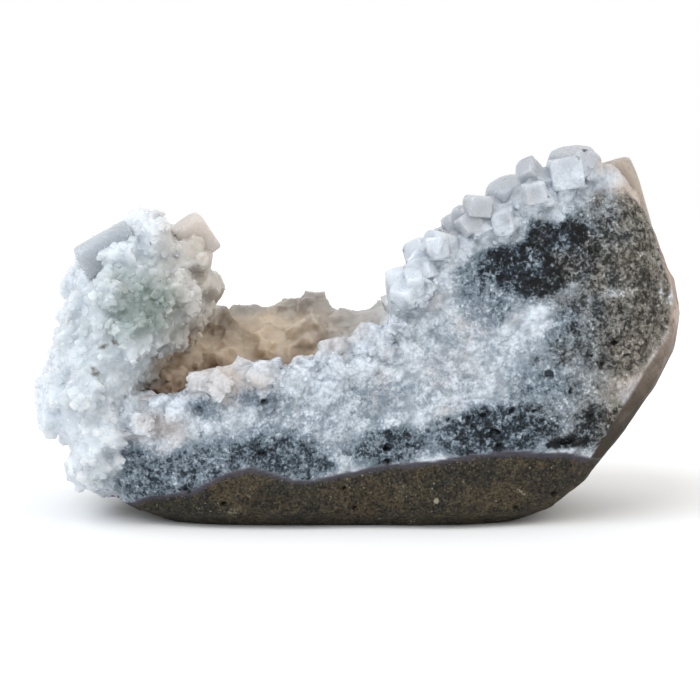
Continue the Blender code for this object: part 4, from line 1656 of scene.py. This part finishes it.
def pieces() -> list[Piece]:
    """Lists the specimen's parts in the order in which they are cut out."""
    # The tower's haze_and_shade colour is the brownish grey of the painted shade on its right-hand
    # side.
    milky = CrystalFinish("milky_crystal", haze_and_shade=tint(186, 178, 167))
    stained = CrystalFinish("stained_crystal", clearness=0.18, sparkle=0.2, depth=5.0)
    quartz = RockFinish("speckled_quartz")
    satin = CrystalFinish(
        "clear_crystal",
        milky=tint(212, 219, 227),
        cloudy=tint(188, 195, 204),
        haze_and_shade=tint(168, 170, 175),
        rosy=tint(166, 153, 142),
        frost=0.26,
        sparkle=0.1,
    )
    return [
        Piece("crystal_tower", "left_crystal_tower", "milky_crystal", milky),
        Piece("crest_druse", "crest_crystals", "clear_crystal", satin),
        Piece("hollow_druse", "hollow_crust", "stained_crystal", stained),
        Piece("basalt_foot", "basalt_matrix", "basalt", RockFinish("basalt")),
        Piece("speckled_quartz", "speckled_layer", "speckled_quartz", quartz),
    ]


@dataclass(frozen=True)
class Sun:
    """A broad soft light that reaches all of the floor evenly, and where it comes from."""

    name: str
    source: Point
    strength: float
    colour: Colour
    softness: float = 50.0

    def hang(self) -> None:
        """Adds the light."""
        data = bpy.data.lights.new(self.name, "SUN")
        data.energy = self.strength
        data.angle = math.radians(self.softness)
        data.color = self.colour
        lamp = bpy.data.objects.new(self.name, data)
        bpy.context.scene.collection.objects.link(lamp)
        lamp.rotation_euler = Vector(self.source).to_track_quat("Z", "Y").to_euler()


@dataclass
class Studio:
    """A pale floor, soft lights and the camera."""

    target: Point = (0.0, -15.0, 44.5)
    distance: float = 470.0
    elevation: float = 6.0
    lens: float = 100.0
    sensor: float = 36.0
    shift: tuple[float, float] = (-3 / 700, -15 / 700)
    floor_size: float = 3000.0
    floor_drop: float = 0.02
    floor_tint: Colour = (0.84, 0.84, 0.84)
    suns: tuple[Sun, ...] = (
        Sun("key", (-1.0, -1.1, 1.5), 1.7, (0.88, 0.94, 1.0)),
        Sun("fill", (1.0, -0.5, 0.9), 0.7, (1.0, 0.92, 0.82)),
    )

    def build(self) -> None:
        """Sets the stage."""
        self.lay_floor()
        self.aim_camera()
        for sun in self.suns:
            sun.hang()
        world = bpy.data.worlds.new("studio")
        bpy.context.scene.world = world
        world.use_nodes = True
        sky = world.node_tree.nodes["Background"]
        sky.inputs["Color"].default_value = (1.0, 1.0, 1.0, 1.0)
        sky.inputs["Strength"].default_value = 1.0
        bpy.context.scene.view_settings.view_transform = "Standard"

    def lay_floor(self) -> None:
        """Lays the floor just under the specimen."""
        half = self.floor_size / 2
        mesh = bpy.data.meshes.new("floor")
        turns = ((-1, -1), (1, -1), (1, 1), (-1, 1))
        corners = [(x * half * MM, y * half * MM, -self.floor_drop * MM) for x, y in turns]
        mesh.from_pydata(corners, [], [(0, 1, 2, 3)])
        floor = bpy.data.objects.new("floor", mesh)
        bpy.context.scene.collection.objects.link(floor)
        shader = Shader("floor")
        finish = shader.principled({"Base Color": shader.colour(self.floor_tint), "Roughness": 0.8})
        mesh.materials.append(shader.close(finish))

    def aim_camera(self) -> None:
        """Puts the camera at the photograph's angle."""
        data = bpy.data.cameras.new("camera")
        data.lens = self.lens
        data.sensor_width = self.sensor
        data.clip_start = 0.01
        data.shift_x, data.shift_y = self.shift
        camera = bpy.data.objects.new("camera", data)
        bpy.context.scene.collection.objects.link(camera)
        angle = math.radians(self.elevation)
        target = Vector(self.target) * MM
        away = Vector((0.0, -math.cos(angle), math.sin(angle))) * self.distance * MM
        camera.location = target + away
        camera.rotation_euler = (-away).to_track_quat("-Z", "Y").to_euler()
        bpy.context.scene.camera = camera


def main() -> None:
    """Builds the stage and each part of the specimen."""
    logging.basicConfig(level=logging.INFO, format="%(message)s")
    watch = time.time()
    Studio().build()
    body, middles = Body().build()
    LOG.info("body grown after %.1f s", time.time() - watch)
    skin = body.tree()
    parts = pieces()
    for part in parts:
        part.build(body, skin, middles, part is parts[-1])
        LOG.info("%s after %.1f s", part.name, time.time() - watch)
    body.drop()


if __name__ == "__main__":
    main()
